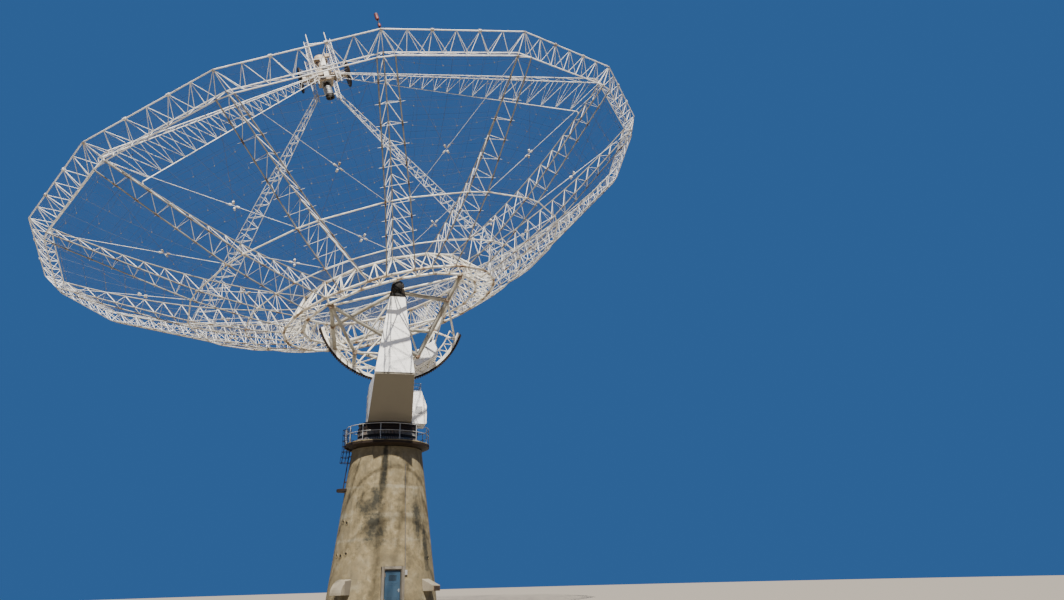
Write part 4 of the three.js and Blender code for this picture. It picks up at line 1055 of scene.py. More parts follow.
boxes = []
for slot in range(WEIGHT_SLOTS):
    for row in range(WEIGHT_ROWS):
        near = -WEIGHT_HALF + ROW_LENGTH * row + ROW_GAP
        far = -WEIGHT_HALF + ROW_LENGTH * (row + 1) - ROW_GAP
        shares = [(-0.5 + slot / WEIGHT_SLOTS) + 0.006, (-0.5 + (slot + 1) / WEIGHT_SLOTS) - 0.006]
        points = [weight_point(radial, width * s, y) for radial, width in WEIGHT_SIDES for s in shares
                  for y in (near, far)]
        boxes.append(hull_mesh("weight_box", points, PANEL_WHITE, DISH, bevel=0.03))
straps = []
strap = ((3.81, -1.28), (4.88, -0.9), (4.88, 0.9), (3.81, 1.28))
for y in (-1.48, -0.75, 0, 0.75, 1.48):
    straps += chain([weight_point(radial, across, y) for radial, across in strap], 0.02)
boxes.append(bar_mesh("weight_straps", straps, CREAM, sides=4, grip=0.1, place=DISH))
as_piece("weight_boxes", boxes, "dish", ["counterweight"])
print("weight boxes:", WEIGHT_SLOTS * WEIGHT_ROWS)

# %% [markdown]
# ## The wire mesh
# The reflector is a fine square mesh of thin steel wire, and from a distance the sky shows straight through
# it. Wires could be modelled, but there are millions of them. Each quarter is one thin skin, and its
# material is see through between the wires: a grid in the piece's own UV map makes the wires, and broader
# lines the seams. Round the hub a finer grid lies over the first, because the real mesh is closer there.

# %% Mix the wire mesh
FINE_RADIUS = 7.6
# Distance between lines in model metres, and the share of it that a line covers
WIRES, FINE_WIRES, SEAMS = (0.0075, 0.045), (0.005, 0.13), (0.5, 0.02)
WIRE_GREY, WIRE_BROWN = (0.15, 0.152, 0.15, 1), (0.098, 0.088, 0.077, 1)


def wire_mesh_material():
    material = bpy.data.materials.new("wire_mesh")
    tree, shader = surface_of(material)
    place = put(tree, "ShaderNodeUVMap", uv_map="weave").outputs["UV"]
    axes = put(tree, "ShaderNodeSeparateXYZ", {0: place}).outputs

    def grid(spacing, share):
        """1 on the lines of a square grid, 0 between them."""
        cells = [sum_up(tree, "PINGPONG", axis, spacing / 2) for axis in axes[:2]]
        lines = [sum_up(tree, "LESS_THAN", cell, spacing * share / 2) for cell in cells]
        return sum_up(tree, "MAXIMUM", *lines)

    inner = sum_up(tree, "LESS_THAN", axes[0], FINE_RADIUS * M)
    wires = sum_up(tree, "MAXIMUM", grid(*WIRES), times(tree, inner, grid(*FINE_WIRES)))
    seams = times(tree, grid(*SEAMS), 0.35)
    tree.links.new(sum_up(tree, "MAXIMUM", wires, seams, clamp=True), shader.inputs["Alpha"])
    object_place = put(tree, "ShaderNodeTexCoord").outputs["Object"]
    patches = put(tree, "ShaderNodeTexNoise",
                  {"Vector": object_place, "Scale": 0.8, "Detail": 4.0}).outputs["Fac"]
    colour = blend_colours(tree, ramp(tree, patches, 0.35, 0.65), WIRE_GREY, WIRE_BROWN)
    tree.links.new(colour, shader.inputs["Base Color"])
    tree.links.new(ramp(tree, patches, 0.3, 0.7, 0.4, 0.65), shader.inputs["Roughness"])
    shader.inputs["Metallic"].default_value = 0.6
    return material


WIRE_MESH = wire_mesh_material()

# %% Stretch the mesh over the ribs
SHEET_RINGS, SHEET_START, SHEET_LIFT = 28, 1.2, 0.02
radii = [SHEET_START + (RIM_RADIUS - SHEET_START) * i / SHEET_RINGS for i in range(SHEET_RINGS + 1)]


def sheet_mesh(name, quarter):
    """A quarter of the reflector: flat between ribs, curved from the middle to the rim."""
    bm = bmesh.new()
    weave = bm.loops.layers.uv.new("weave")
    rows = []
    for k in range(quarter * RIBS_IN_QUARTER, (quarter + 1) * RIBS_IN_QUARTER + 1):
        rows.append([bm.verts.new(DISH @ (at_rib(k, r, dish_level(r) + SHEET_LIFT) * M)) for r in radii])
    for left, right in zip(rows, rows[1:]):
        for i in range(SHEET_RINGS):
            face = bm.faces.new((left[i], left[i + 1], right[i + 1], right[i]))
            for loop, (side, step) in zip(face.loops, ((-1, i), (-1, i + 1), (1, i + 1), (1, i))):
                r = radii[step] * M
                loop[weave].uv = (r, side * r * math.tan(math.pi / RIBS))
            face.smooth = True
    mesh = bpy.data.meshes.new(name)
    bm.to_mesh(mesh)
    bm.free()
    mesh.materials.append(WIRE_MESH)
    return mesh


for quarter in range(4):
    as_piece(f"wire_mesh_{quarter + 1}", [sheet_mesh("sheet", quarter)], "dish",
             [f"reflector_mesh_{quarter + 1}"])
print("mesh quarters:", 4)

# %% [markdown]
# ## The rope trusses
# Between the ribs the mesh hangs on rope trusses: a taut rope under the mesh, a slack one below it, and
# short ties with round clamps that pull the two together. The clamps are what the eye picks out against the
# sky. Three more ropes in each bay run outwards, from the first truss to the rim.

# %% String the ropes
ROPE_RADIUS, TIE_RADIUS, CLAMP_RADIUS, CLAMP_HALF = 0.006, 0.005, 0.03, 0.03
SAG_SHARE = 0.075
TRUSS_STEPS = (0, 0.2, 0.4, 0.6, 0.8, 1)
# A long bay has four clamps to a rope, a short one only two
LONG_BAY = 5


def rope_runs(k):
    """The ropes and clamps of one bay between ribs."""
    ropes, clamps = [], []
    truss_radii = [RIB_START + PANEL * (i + 0.5) for i in range(PANELS)]
    for r in truss_radii:
        start, end = upper(k, r), upper(k + 1, r)
        length = (end - start).length
        taut = [start.lerp(end, s) for s in TRUSS_STEPS]
        slack = [p - UP * (SAG_SHARE * length * 4 * s * (1 - s)) for p, s in zip(taut, TRUSS_STEPS)]
        ropes += [([start, end], ROPE_RADIUS), (slack, ROPE_RADIUS)]
        for i in range(1, 5):
            ropes.append(([taut[i], slack[i]], TIE_RADIUS))
            if i in (2, 3) or length > LONG_BAY:
                clamps.append((slack[i] - UP * CLAMP_HALF, slack[i] + UP * CLAMP_HALF, CLAMP_RADIUS))
    for s in (0.25, 0.5, 0.75):
        outwards = [upper(k, r).lerp(upper(k + 1, r), s) for r in truss_radii[::3] + [RIM_TOP]]
        ropes.append((outwards, ROPE_RADIUS))
    return ropes, clamps


for quarter in range(4):
    ropes, clamps = [], []
    for k in range(quarter * RIBS_IN_QUARTER, (quarter + 1) * RIBS_IN_QUARTER):
        bay_ropes, bay_clamps = rope_runs(k)
        ropes += bay_ropes
        clamps += bay_clamps
    meshes = [bar_mesh("ropes", ropes, ROPE, sides=3, grip=0, place=DISH),
              bar_mesh("clamps", clamps, ROPE, sides=6, grip=0, place=DISH)]
    as_piece(f"rope_trusses_{quarter + 1}", meshes, "dish", [])
print("ropes in a quarter:", len(ropes))

# %% [markdown]
# ## The yoke
# The yoke turns on the tower and carries the elevation axis: a welded body, a sloping wing and a tapering
# arm on either side, and a bearing on each arm. All are flat-sided boxes of thick plate, so each is a hull
# with softened edges. Seams, stiffeners and hatches are laid on it as thin bars and plates.

# %% Weld the yoke's body
def white_sides_on_shaded_hull(mesh, side_material):
    """Gives the faces that look along X another paint; the yoke's other faces keep taupe painted shade."""
    mesh.materials.append(side_material)
    for polygon in mesh.polygons:
        if abs(polygon.normal.x) > 0.8:
            polygon.material_index = len(mesh.materials) - 1
    return mesh


BODY_X, BODY_Y, BODY_LOW, DECK = 1.52, 2.2, 12.26, 14.84
KNEE_X, KNEE, ARM_INNER, ARM_OUTER = 1.31, 14.82, 4.87, 5.58
WING_Y = 2.15
# Corners of a wing's side, as distances from the middle along X and Y, and level
WING_OUTLINE = ((BODY_X, WING_Y, BODY_LOW), (BODY_X, WING_Y, DECK), (KNEE_X, ARM_OUTER, KNEE - 0.06),
                (KNEE_X, ARM_OUTER, KNEE), (KNEE_X, ARM_INNER, KNEE))


def upright_ring(count, radius, low, high, thickness):
    """Short upright bars all round the axis."""
    turns = [i * math.tau / count for i in range(count)]
    return [(polar(a, radius, low), polar(a, radius, high), thickness) for a in turns]


# The yoke is white, but only its faces along X show it: the other faces and the seams get taupe painted shade.
body_points = [(x * BODY_X, y * BODY_Y, z) for x in (-1, 1) for y in (-1, 1) for z in (BODY_LOW, DECK)]
yoke = [white_sides_on_shaded_hull(hull_mesh("yoke_body", body_points, TAUPE_SHADE, bevel=0.03), PANEL_WHITE)]
seams = []
for y in (-1, 1):
    wing = [(x * out, y * across, z) for x in (-1, 1) for out, across, z in WING_OUTLINE]
    yoke.append(white_sides_on_shaded_hull(hull_mesh("yoke_wing", wing, TAUPE_SHADE, bevel=0.03), PANEL_WHITE))
    for share in (0.25, 0.5, 0.75):
        low = Vector((0, y * WING_Y, BODY_LOW)).lerp(Vector((0, y * ARM_OUTER, KNEE - 0.06)), share)
        half = BODY_X + (KNEE_X - BODY_X) * share - 0.03
        for x in (-1, 1):
            start, end = (Vector((x * half, low.y, z)) for z in (low.z + 0.05, KNEE - 0.05))
            seams.append((start, end, 0.022))
    start = Vector((1.38, y * WING_Y, BODY_LOW + 0.01))
    end = Vector((1.18, y * (ARM_OUTER - 0.03), KNEE - 0.07))
    seams.append((start, end, 0.016))
for x in (-1, 1):
    for y in (-1.4, 0, 1.4):
        seams.append((Vector((x * BODY_X, y, BODY_LOW + 0.05)), Vector((x * BODY_X, y, DECK - 0.05)), 0.018))
yoke.append(bar_mesh("yoke_seams", seams, TAUPE_SHADE, sides=4, grip=0.1))
neck = [(0, 11.87), (2.12, 11.87), (2.12, 12.0), (1.95, 12.04), (1.95, 12.2), (2.1, 12.26), (2.1, 12.3),
        (0, 12.3)]
yoke.append(turned_mesh("neck", neck, DARK_RUST_AND_SHADE, segments=64))
studs = upright_ring(36, 2.04, 12.0, 12.07, 0.035)
yoke.append(bar_mesh("neck_studs", studs, DARK, sides=6, grip=0, smooth=False))
as_piece("yoke_box", yoke, "yoke", ["yoke_base"])

# %% Raise the arms and their bearings
ARM_FOOT, ARM_TOP, ARM_TOP_X, ARM_TOP_OUTER = KNEE + 0.07, 20.36, 0.52, 5.48
# Corners of an arm's side, as distances from the middle along X and Y, and level
ARM_OUTLINE = ((KNEE_X, ARM_INNER, ARM_FOOT), (KNEE_X, ARM_OUTER, ARM_FOOT), (ARM_TOP_X, ARM_INNER, ARM_TOP),
               (ARM_TOP_X, ARM_TOP_OUTER, ARM_TOP))
BEARING_SIDES = (4.88, 5.48)
BOLT_CIRCLE, BOLTS = 0.36, 12
# One side of a bearing's foot, as distance from the middle and level
FOOT_OUTLINE = ((0.52, 20.38), (0.52, 20.56), (0.41, 20.95), (0.2, 20.38), (0.3, 20.85))
for side, name in ((-1, "near"), (1, "far")):
    points = [(x * out, side * across, z) for x in (-1, 1) for out, across, z in ARM_OUTLINE]
    arm = [hull_mesh("arm", points, PANEL_WHITE, bevel=0.03)]
    welds = []
    for share in (0.2, 0.42, 0.64, 0.84):
        level = ARM_FOOT + (ARM_TOP - ARM_FOOT) * share
        half = KNEE_X + (ARM_TOP_X - KNEE_X) * share
        face = side * (ARM_OUTER + (ARM_TOP_OUTER - ARM_OUTER) * share)
        inner = side * ARM_INNER
        corners = [Vector((x * half, y, level)) for x, y in ((-1, inner), (-1, face), (1, face), (1, inner))]
        welds += chain(corners, 0.014, closed=True)
    arm.append(bar_mesh("arm_welds", welds, PANEL_WHITE, sides=4, grip=0.1))
    hatch_y = side * (ARM_OUTER - 0.02)
    arm.append(box_mesh("arm_hatch", (0.62, 0.05, 0.9), (0.1, hatch_y, KNEE + 0.75), PANEL_WHITE,
                        bevel=0.012))
    arm.append(box_mesh("arm_cap", (1.16, 0.68, 0.05), (0, side * 5.17, ARM_TOP - 0.02), DARK_RUST_AND_SHADE,
                        bevel=0.01))
    as_piece(f"{name}_arm_box", arm, "yoke", [f"{name}_arm"])

    at_axis = placed(0, 0, AXIS_HEIGHT, -side * math.pi / 2)
    housing = [(0.288, 4.86), (0.43, 4.86), (0.435, 4.92), (0.4, 4.96), (0.4, 5.34), (0.435, 5.38),
               (0.435, 5.46), (0.36, 5.49), (0.288, 5.49)]
    block = [turned_mesh("housing", housing, DARK, at_axis, segments=40)]
    for x in (-1, 1):
        foot = [(x * out, side * y, z) for y in BEARING_SIDES for out, z in FOOT_OUTLINE]
        block.append(hull_mesh("bearing_foot", foot, DARK_RUST_AND_SHADE, bevel=0.015))
    block.append(box_mesh("bearing_base", (1.06, 0.62, 0.14), (0, side * 5.18, 20.45), DARK, bevel=0.02))
    bolts = []
    for i in range(BOLTS):
        a = i * math.tau / BOLTS
        start, end = (Vector((BOLT_CIRCLE * math.cos(a), side * y, AXIS_HEIGHT + BOLT_CIRCLE * math.sin(a)))
                      for y in (5.4, 5.495))
        bolts.append((start, end, 0.025))
    bolts += [(Vector((x, side * y, 20.5)), Vector((x, side * y, 20.58)), 0.035)
              for x in (-0.46, 0.46) for y in (4.98, 5.38)]
    block.append(bar_mesh("bearing_bolts", bolts, RUSTY, sides=6, grip=0, smooth=False))
    as_piece(f"{name}_bearing_block", block, "yoke", [f"{name}_bearing"])
print("arms:", 2)

# %% [markdown]
# ## The cabin, the drive and the slewing drum
# A cabin with the electrics hangs on the yoke's right side. The elevation drive stands on the deck beside
# the toothed sector, and the whole yoke turns on a dark drum with a ring of teeth like a comb round its
# foot.

# %% Fit out the yoke
CABIN_OUTER, EAVES, RIDGE, CABIN_TOP = 2.64, 13.6, 2.26, 14.74
# X and level of the corners, seen from the front
CABIN_OUTLINE = ((1.55, 12.36), (CABIN_OUTER, 12.36), (CABIN_OUTER, EAVES), (RIDGE, CABIN_TOP - 0.04),
                 (1.55, CABIN_TOP - 0.04))
cabin_points = [(x, y, z) for y in (-0.97, 0.97) for x, z in CABIN_OUTLINE]
cabin = [hull_mesh("cabin", cabin_points, PANEL_WHITE, bevel=0.03),
         box_mesh("cabin_roof", (0.72, 1.98, 0.05), (1.91, 0, CABIN_TOP - 0.03), GALVANISED, bevel=0.01),
         box_mesh("cabin_door", (0.03, 0.72, 1.02), (CABIN_OUTER + 0.005, -0.35, 12.98), PANEL_WHITE,
                  bevel=0.008),
         box_mesh("cabin_handle", (0.03, 0.1, 0.03), (CABIN_OUTER + 0.02, -0.08, 12.98), DARK, bevel=0.005)]
for i in range(7):
    cabin.append(box_mesh("louvre", (0.05, 0.5, 0.03), (CABIN_OUTER, 0.5, 12.75 + i * 0.08), GALVANISED,
                          bevel=0.005, turn=Matrix.Rotation(0.6, 4, "Y")))
    cabin.append(box_mesh("louvre_front", (0.5, 0.04, 0.03), (2.1, -0.975, 13.1 + i * 0.08), GALVANISED,
                          bevel=0.005, turn=Matrix.Rotation(0.6, 4, "X")))
edges = [Vector(p) for p in cabin_points]
cabin_seams = [(edges[i + offset], edges[(i + 1) % 5 + offset], 0.025) for i in range(5)
               for offset in (0, 5)]
cabin.append(bar_mesh("cabin_edges", cabin_seams, PANEL_WHITE, sides=5, grip=0.1))
rail_plan = ((1.62, -0.93), (2.2, -0.93), (2.2, 0.93), (1.62, 0.93))
rail_corners = [Vector((x, y, CABIN_TOP)) for x, y in rail_plan]
rail_bars = [(p, p + UP * 0.55, 0.022) for p in rail_corners + [Vector((2.2, 0, CABIN_TOP))]]
for height in (0.3, 0.55):
    lifted = [p + UP * height for p in rail_corners]
    rail_bars += chain(lifted, 0.018)
cabin.append(bar_mesh("cabin_rail", rail_bars, GALVANISED, sides=6, grip=0.05))
as_piece("cabin_box", cabin, "yoke", ["machine_cabin"])

DRIVE_Y, DRIVE_BASE = 0.65, DECK + 0.02
gearbox = [box_mesh("gearbox", (1.08, 0.76, 0.5), (0, DRIVE_Y, DRIVE_BASE + 0.33), DARK, bevel=0.04),
           box_mesh("gearbox_foot", (1.1, 0.8, 0.07), (0, DRIVE_Y, DRIVE_BASE + 0.04), RUSTY, bevel=0.01),
           box_mesh("gearbox_lid", (0.8, 0.5, 0.05), (0, DRIVE_Y, DRIVE_BASE + 0.59), RUSTY, bevel=0.01)]
motor_place = placed(0, DRIVE_Y, DRIVE_BASE + 0.36, math.pi / 2, "Y")
motor = [(0, 0.5), (0.19, 0.5), (0.19, 0.56)]
for i in range(12):
    start = 0.58 + i * 0.05
    motor += [(0.16, start), (0.16, start + 0.025), (0.195, start + 0.025), (0.195, start + 0.05)]
motor += [(0.19, 1.2), (0.15, 1.28), (0, 1.28)]
gearbox.append(turned_mesh("motor", motor, MOTOR_GREY, motor_place, segments=24))
as_piece("drive_box", gearbox, "yoke", ["elevation_drive"])

DRUM_FOOT, COMB_TEETH = 10.91, 110
drum_profile = [(0, DRUM_FOOT), (2.15, DRUM_FOOT), (2.15, 11.24), (2.02, 11.28), (2.02, 11.6), (2.12, 11.64),
                (2.14, 11.7), (2.14, 11.85), (0, 11.85)]
drum = [turned_mesh("drum", drum_profile, DARK, segments=72),
        turned_mesh("drum_band", [(2.0, 11.7), (2.15, 11.7), (2.15, 11.82), (2.0, 11.82)], DARK_RUST_AND_SHADE,
                    segments=72)]
comb = upright_ring(COMB_TEETH, 2.22, DRUM_FOOT + 0.03, DRUM_FOOT + 0.27, 0.045)
comb += upright_ring(130, 2.1, 11.42, 11.63, 0.022)
drum.append(bar_mesh("drum_teeth", comb, GALVANISED, sides=4, grip=0, smooth=False))
for level in (DRUM_FOOT + 0.005, DRUM_FOOT + 0.255):
    flange = [(2.1, level), (2.25, level), (2.25, level + 0.035), (2.1, level + 0.035)]
    drum.append(turned_mesh("tooth_flange", flange, DARK_RUST_AND_SHADE, segments=72))
as_piece("drum_body", drum, "yoke", ["slewing_drum"])
print("drum teeth:", COMB_TEETH)

# %% [markdown]
# ## The tower's concrete
# The tower was cast in rings of boards, and decades of rain have drawn dark streaks down from the gallery.
# The material works on Object coordinates. The direction from the tower's axis, without its length, makes
# streaks that follow the wall, and the height makes the cast rings and their thin joints.

# %% Mix the concrete
# Stains of the real wall: angle from -Y in degrees, height, half width and half height in model metres
STAINS = ((-5.5, 4.75, 0.085, 0.95), (-8.0, 4.05, 0.11, 0.4), (-15, 3.6, 0.2, 0.3), (-24, 3.2, 0.42, 0.28),
          (-16, 2.5, 0.36, 0.55), (42, 2.85, 0.22, 0.7), (55, 1.9, 0.16, 0.8))
# Paler rings: height and half height
PALE_RINGS = ((3.88, 0.05), (2.95, 0.1), (2.15, 0.05))
SAND, GREYER, PALE = (0.245, 0.191, 0.099, 1), (0.156, 0.129, 0.076, 1), (0.269, 0.238, 0.157, 1)
DULL, MOULD, CHALK = (0.107, 0.089, 0.053, 1), (0.064, 0.054, 0.033, 1), (0.274, 0.253, 0.180, 1)
JOINT_DIRT, STREAK, STAIN = (0.078, 0.065, 0.041, 1), (0.048, 0.043, 0.029, 1), (0.023, 0.023, 0.017, 1)
SPECKLE = (0.098, 0.084, 0.056, 1)


def stain_mask(tree, place, height, ragged, stain):
    """1 inside a ragged oval on the wall, 0 outside it."""
    angle, level, half_width, half_height = stain
    a = math.radians(angle)

    def measured(way):
        """The distance from the tower's axis along a direction."""
        return put(tree, "ShaderNodeVectorMath", {0: place, 1: way},
                   operation="DOT_PRODUCT").outputs["Value"]

    out = measured((math.sin(a), -math.cos(a), 0))
    across = sum_up(tree, "DIVIDE", measured((math.cos(a), math.sin(a), 0)), half_width)
    up = sum_up(tree, "DIVIDE", sum_up(tree, "SUBTRACT", height, level), half_height)
    reach = add(tree, times(tree, across, across), times(tree, up, up))
    mask = ramp(tree, add(tree, reach, ragged), 0.1, 1.5, 1.0, 0.0)
    return times(tree, mask, sum_up(tree, "GREATER_THAN", out, 0.0), clamp=True)


def concrete_material():
    material = bpy.data.materials.new("weathered_concrete")
    tree, shader = surface_of(material)
    place = put(tree, "ShaderNodeTexCoord").outputs["Object"]
    x, y, z = put(tree, "ShaderNodeSeparateXYZ", {0: place}).outputs
    flat = put(tree, "ShaderNodeCombineXYZ", {0: x, 1: y, 2: 0.0}).outputs[0]
    outwards = put(tree, "ShaderNodeVectorMath", {0: flat}, operation="NORMALIZE").outputs[0]
    way = put(tree, "ShaderNodeSeparateXYZ", {0: outwards}).outputs
    drawn_out = {0: times(tree, way[0], 9.0), 1: times(tree, way[1], 9.0), 2: times(tree, z, 0.7)}
    along = put(tree, "ShaderNodeCombineXYZ", drawn_out).outputs[0]

    def noise(vector, scale):
        settings = {"Vector": vector, "Scale": scale, "Detail": 8.0, "Roughness": 0.65}
        return put(tree, "ShaderNodeTexNoise", settings).outputs["Fac"]

    runs, broad, blotches, fine = noise(along, 1.0), noise(place, 1.1), noise(place, 3.4), noise(place, 26.0)
    # Bare sandy concrete, greyer patches, and mould in the dampest ones
    colour = blend_colours(tree, ramp(tree, broad, 0.38, 0.62), SAND, GREYER)
    pale = times(tree, ramp(tree, blotches, 0.52, 0.68), 0.6)
    colour = blend_colours(tree, pale, colour, PALE)
    middling = noise(place, 9.0)
    colour = blend_colours(tree, ramp(tree, middling, 0.5, 0.62, 0.0, 0.45), colour, DULL)
    damp = add(tree, times(tree, broad, 0.55), times(tree, blotches, 0.45))
    colour = blend_colours(tree, ramp(tree, damp, 0.52, 0.38, 0.0, 0.75), colour, MOULD)
    for level, half in PALE_RINGS:
        off = sum_up(tree, "ABSOLUTE", sum_up(tree, "SUBTRACT", z, level), 0.0)
        off = add(tree, off, ramp(tree, blotches, 0.3, 0.7, half, -half))
        share = times(tree, ramp(tree, off, half * 0.3, half * 1.5, 0.55, 0.0),
                      ramp(tree, broad, 0.42, 0.58))
        colour = blend_colours(tree, share, colour, CHALK)
    joint = sum_up(tree, "LESS_THAN", sum_up(tree, "PINGPONG", add(tree, z, 0.05), 0.5), 0.005)
    colour = blend_colours(tree, times(tree, joint, 0.3), colour, JOINT_DIRT)
    # Runs of dirt are strongest under the gallery and fade towards the ground
    strength = ramp(tree, z, 1.0, 5.25, 0.35, 1.0)
    streaks = times(tree, ramp(tree, runs, 0.52, 0.7), strength, clamp=True)
    colour = blend_colours(tree, times(tree, streaks, 0.8), colour, STREAK)
    ragged = ramp(tree, add(tree, blotches, times(tree, middling, 0.6)), 0.55, 1.05, 0.9, -0.9)
    for stain in STAINS:
        mask = times(tree, stain_mask(tree, place, z, ragged, stain), 0.93)
        colour = blend_colours(tree, mask, colour, STAIN)
    speckled = blend_colours(tree, ramp(tree, fine, 0.55, 0.7, 0.0, 0.35), colour, SPECKLE)
    tree.links.new(speckled, shader.inputs["Base Color"])
    tree.links.new(ramp(tree, fine, 0.3, 0.7, 0.75, 0.95), shader.inputs["Roughness"])
    height = sum_up(tree, "SUBTRACT", add(tree, fine, blotches), times(tree, joint, 1.5))
    shader.inputs["Specular IOR Level"].default_value = 0.2
    relief = put(tree, "ShaderNodeBump", {"Height": height, "Strength": 0.4, "Distance": 0.015})
    tree.links.new(relief.outputs[0], shader.inputs["Normal"])
    return material


CONCRETE = concrete_material()

# %% [markdown]
# ## The tower
# The wall is a hollow cone with a doorway. A grid of points does this better than a boolean: its columns
# beside the doorway run straight up along the frame, and the faces of the doorway are simply left out,
# inside and outside, and closed round the edge.

# %% Cast the tower
BASE, TOP, TOWER_HEIGHT, WALL = 3.735, 2.445, 10.49, 0.34
DOOR_ANGLE = math.radians(7.5)
FRAME_HALF, FRAME_TOP_LEVEL = 0.755, 2.645


def wall_radius(level):
    """The wall's outer radius: it narrows evenly upwards."""
    return BASE + (TOP - BASE) * level / TOWER_HEIGHT


def facing(angle, radius, level):
    """A place on the tower: local Y looks outwards and local Z up."""
    aside, out = polar(angle, 0, 0, 1), polar(angle, 1, 0)
    return (Matrix.Translation(polar(angle, radius, level) * M)
            @ Matrix((-aside, out, UP)).transposed().to_4x4())


def tower_mesh():
    bm = bmesh.new()
    levels = [0.0, 0.7, 1.4, 2.0, FRAME_TOP_LEVEL] + [3.2 + 0.6 * i for i in range(12)] + [TOWER_HEIGHT]
    door_row = 4
    beside = [FRAME_HALF * (1 - 2 * i / 6) for i in range(7)]
    around = 84

    def column(i, radius):
        """The point of column i. The first seven cross the doorway, the others go round the back."""
        if i < 7:
            return polar(DOOR_ANGLE, math.sqrt(radius ** 2 - beside[i] ** 2), 0, -beside[i])
        edge = math.asin(FRAME_HALF / radius)
        share = (i - 6) / (around + 1)
        return polar(DOOR_ANGLE + edge + (math.tau - 2 * edge) * share, radius, 0)

    count = 7 + around
    grids = []
    for inset in (0.0, WALL):
        grids.append([[bm.verts.new((column(i, wall_radius(z) - inset) + UP * z) * M) for i in range(count)]
                      for z in levels])
    outer, inner = grids
    for row in range(len(levels) - 1):
        for i in range(count):
            j = (i + 1) % count
            if row < door_row and i < 6:
                continue
            bm.faces.new((outer[row][i], outer[row][j], outer[row + 1][j], outer[row + 1][i]))
            bm.faces.new((inner[row][j], inner[row][i], inner[row + 1][i], inner[row + 1][j]))
    for i in range(count):
        j = (i + 1) % count
        bm.faces.new((outer[-1][i], outer[-1][j], inner[-1][j], inner[-1][i]))
        if i >= 6:
            bm.faces.new((outer[0][j], outer[0][i], inner[0][i], inner[0][j]))
        else:
            bm.faces.new((outer[door_row][j], outer[door_row][i], inner[door_row][i], inner[door_row][j]))
    for row in range(door_row):
        for i in (0, 6):
            bm.faces.new((outer[row][i], outer[row + 1][i], inner[row + 1][i], inner[row][i]))
    bmesh.ops.remove_doubles(bm, verts=bm.verts, dist=1e-6)
    mesh = mesh_from("tower", bm, CONCRETE, smooth=True)
    mesh.set_sharp_from_angle(angle=math.radians(30))
    return mesh


# Angle in degrees and level of the vents, and of the bends in the conduit
VENTS = ((-65.3, 5.56), (-56.2, 5.46), (-67.7, 3.4), (-58.7, 3.38), (-49.4, 3.49), (58.2, 3.18))
CONDUIT_ROUTE, CONDUIT_CLAMPS = ((25.1, 9.28), (22.6, 5.54), (21.0, 2.4)), 8
fittings = []
for angle, level in VENTS:
    a = math.radians(angle)
    at = facing(a, wall_radius(level), level) @ Matrix.Rotation(-math.pi / 2, 4, "X")
    collar = [(0.1, -0.1), (0.14, -0.1), (0.14, 0.035), (0.1, 0.035)]
    fittings.append(turned_mesh("vent_collar", collar, CONCRETE, at, segments=20))
    # The dark disc in each vent is painted shade of its hole.
    hole = [(0, -0.06), (0.105, -0.06), (0.105, 0.006), (0, 0.006)]
    fittings.append(turned_mesh("vent_hole", hole, DARK, at, segments=20))
conduit = [polar(math.radians(a), wall_radius(z) + 0.05, z) for a, z in CONDUIT_ROUTE]
clamps = []
for number in range(1, CONDUIT_CLAMPS + 1):
    i, s = divmod(number * 2 / (CONDUIT_CLAMPS + 1), 1)
    p = conduit[int(i)].lerp(conduit[min(int(i) + 1, 2)], s)
    clamps.append((p - UP * 0.02, p + UP * 0.02, 0.04))
fittings.append(bar_mesh("conduit", [(conduit, 0.024)] + clamps, ROPE, sides=8, grip=0))
fittings.append(box_mesh("junction_box", (0.24, 0.12, 0.3), (0, 0.02, 0), GALVANISED,
                         facing(math.radians(21.0), wall_radius(2.2) + 0.03, 2.25), bevel=0.02))
walls = [f"tower_wall_{part}"
         for part in ("front_left", "front_right", "over_door", "back_left", "back_right")]
as_piece("tower_shell", [tower_mesh()] + fittings, "tower", walls)
nodes["tower_floor"].data.materials.clear()
nodes["tower_floor"].data.materials.append(CONCRETE)
print("tower top:", TOWER_HEIGHT * M)

# %% [markdown]
# ## The gallery and the way up
# A walkway with a railing runs round the tower's top. A caged ladder climbs to it through a hatch from a
# small balcony. Rails, posts, rungs and hoops are all bars.

# %% Build the gallery
GALLERY, GALLERY_TOP, LADDER_ANGLE = 2.98, 10.9, math.radians(-86)
HATCH_HALF = 0.38


def sector_ring(name, profile, start, end, steps, material):
    """A profile of (radius, height) swept part of the way round Z, and closed at both ends."""
    bm = bmesh.new()
    rows = []
    for i in range(steps + 1):
        a = start + (end - start) * i / steps
        rows.append([bm.verts.new(polar(a, r, z) * M) for r, z in profile])
    count = len(profile)
    for near, far in zip(rows, rows[1:]):
        for i in range(count):
            bm.faces.new((near[i], near[(i + 1) % count], far[(i + 1) % count], far[i]))
    bm.faces.new(rows[0])
    bm.faces.new(rows[-1])
    return mesh_from(name, bm, material)


hatch_turn = math.asin(HATCH_HALF / 2.7)
slab_profile = [(2.3, 10.52), (2.62, 10.52), (2.88, 10.65), (GALLERY, 10.68), (GALLERY, 10.84),
                (2.95, GALLERY_TOP), (2.3, GALLERY_TOP)]
edge_profile = [(2.93, 10.83), (2.99, 10.83), (2.99, 10.885), (2.93, 10.905)]
slab_arc = (LADDER_ANGLE + hatch_turn, LADDER_ANGLE + math.tau - hatch_turn, 90)
slab_middle = [(0, 10.51), (2.4, 10.51), (2.4, 10.895), (0, 10.895)]
# The slab's near-black is partly rust and partly painted shade of its underside.
slab = [sector_ring("slab", slab_profile, *slab_arc, DARK_RUST_AND_SHADE),
        sector_ring("slab_edge", edge_profile, *slab_arc, CONCRETE),
        turned_mesh("slab_middle", slab_middle, DARK_RUST_AND_SHADE, segments=64)]
as_piece("gallery_floor", slab, "tower", ["gallery_slab"])

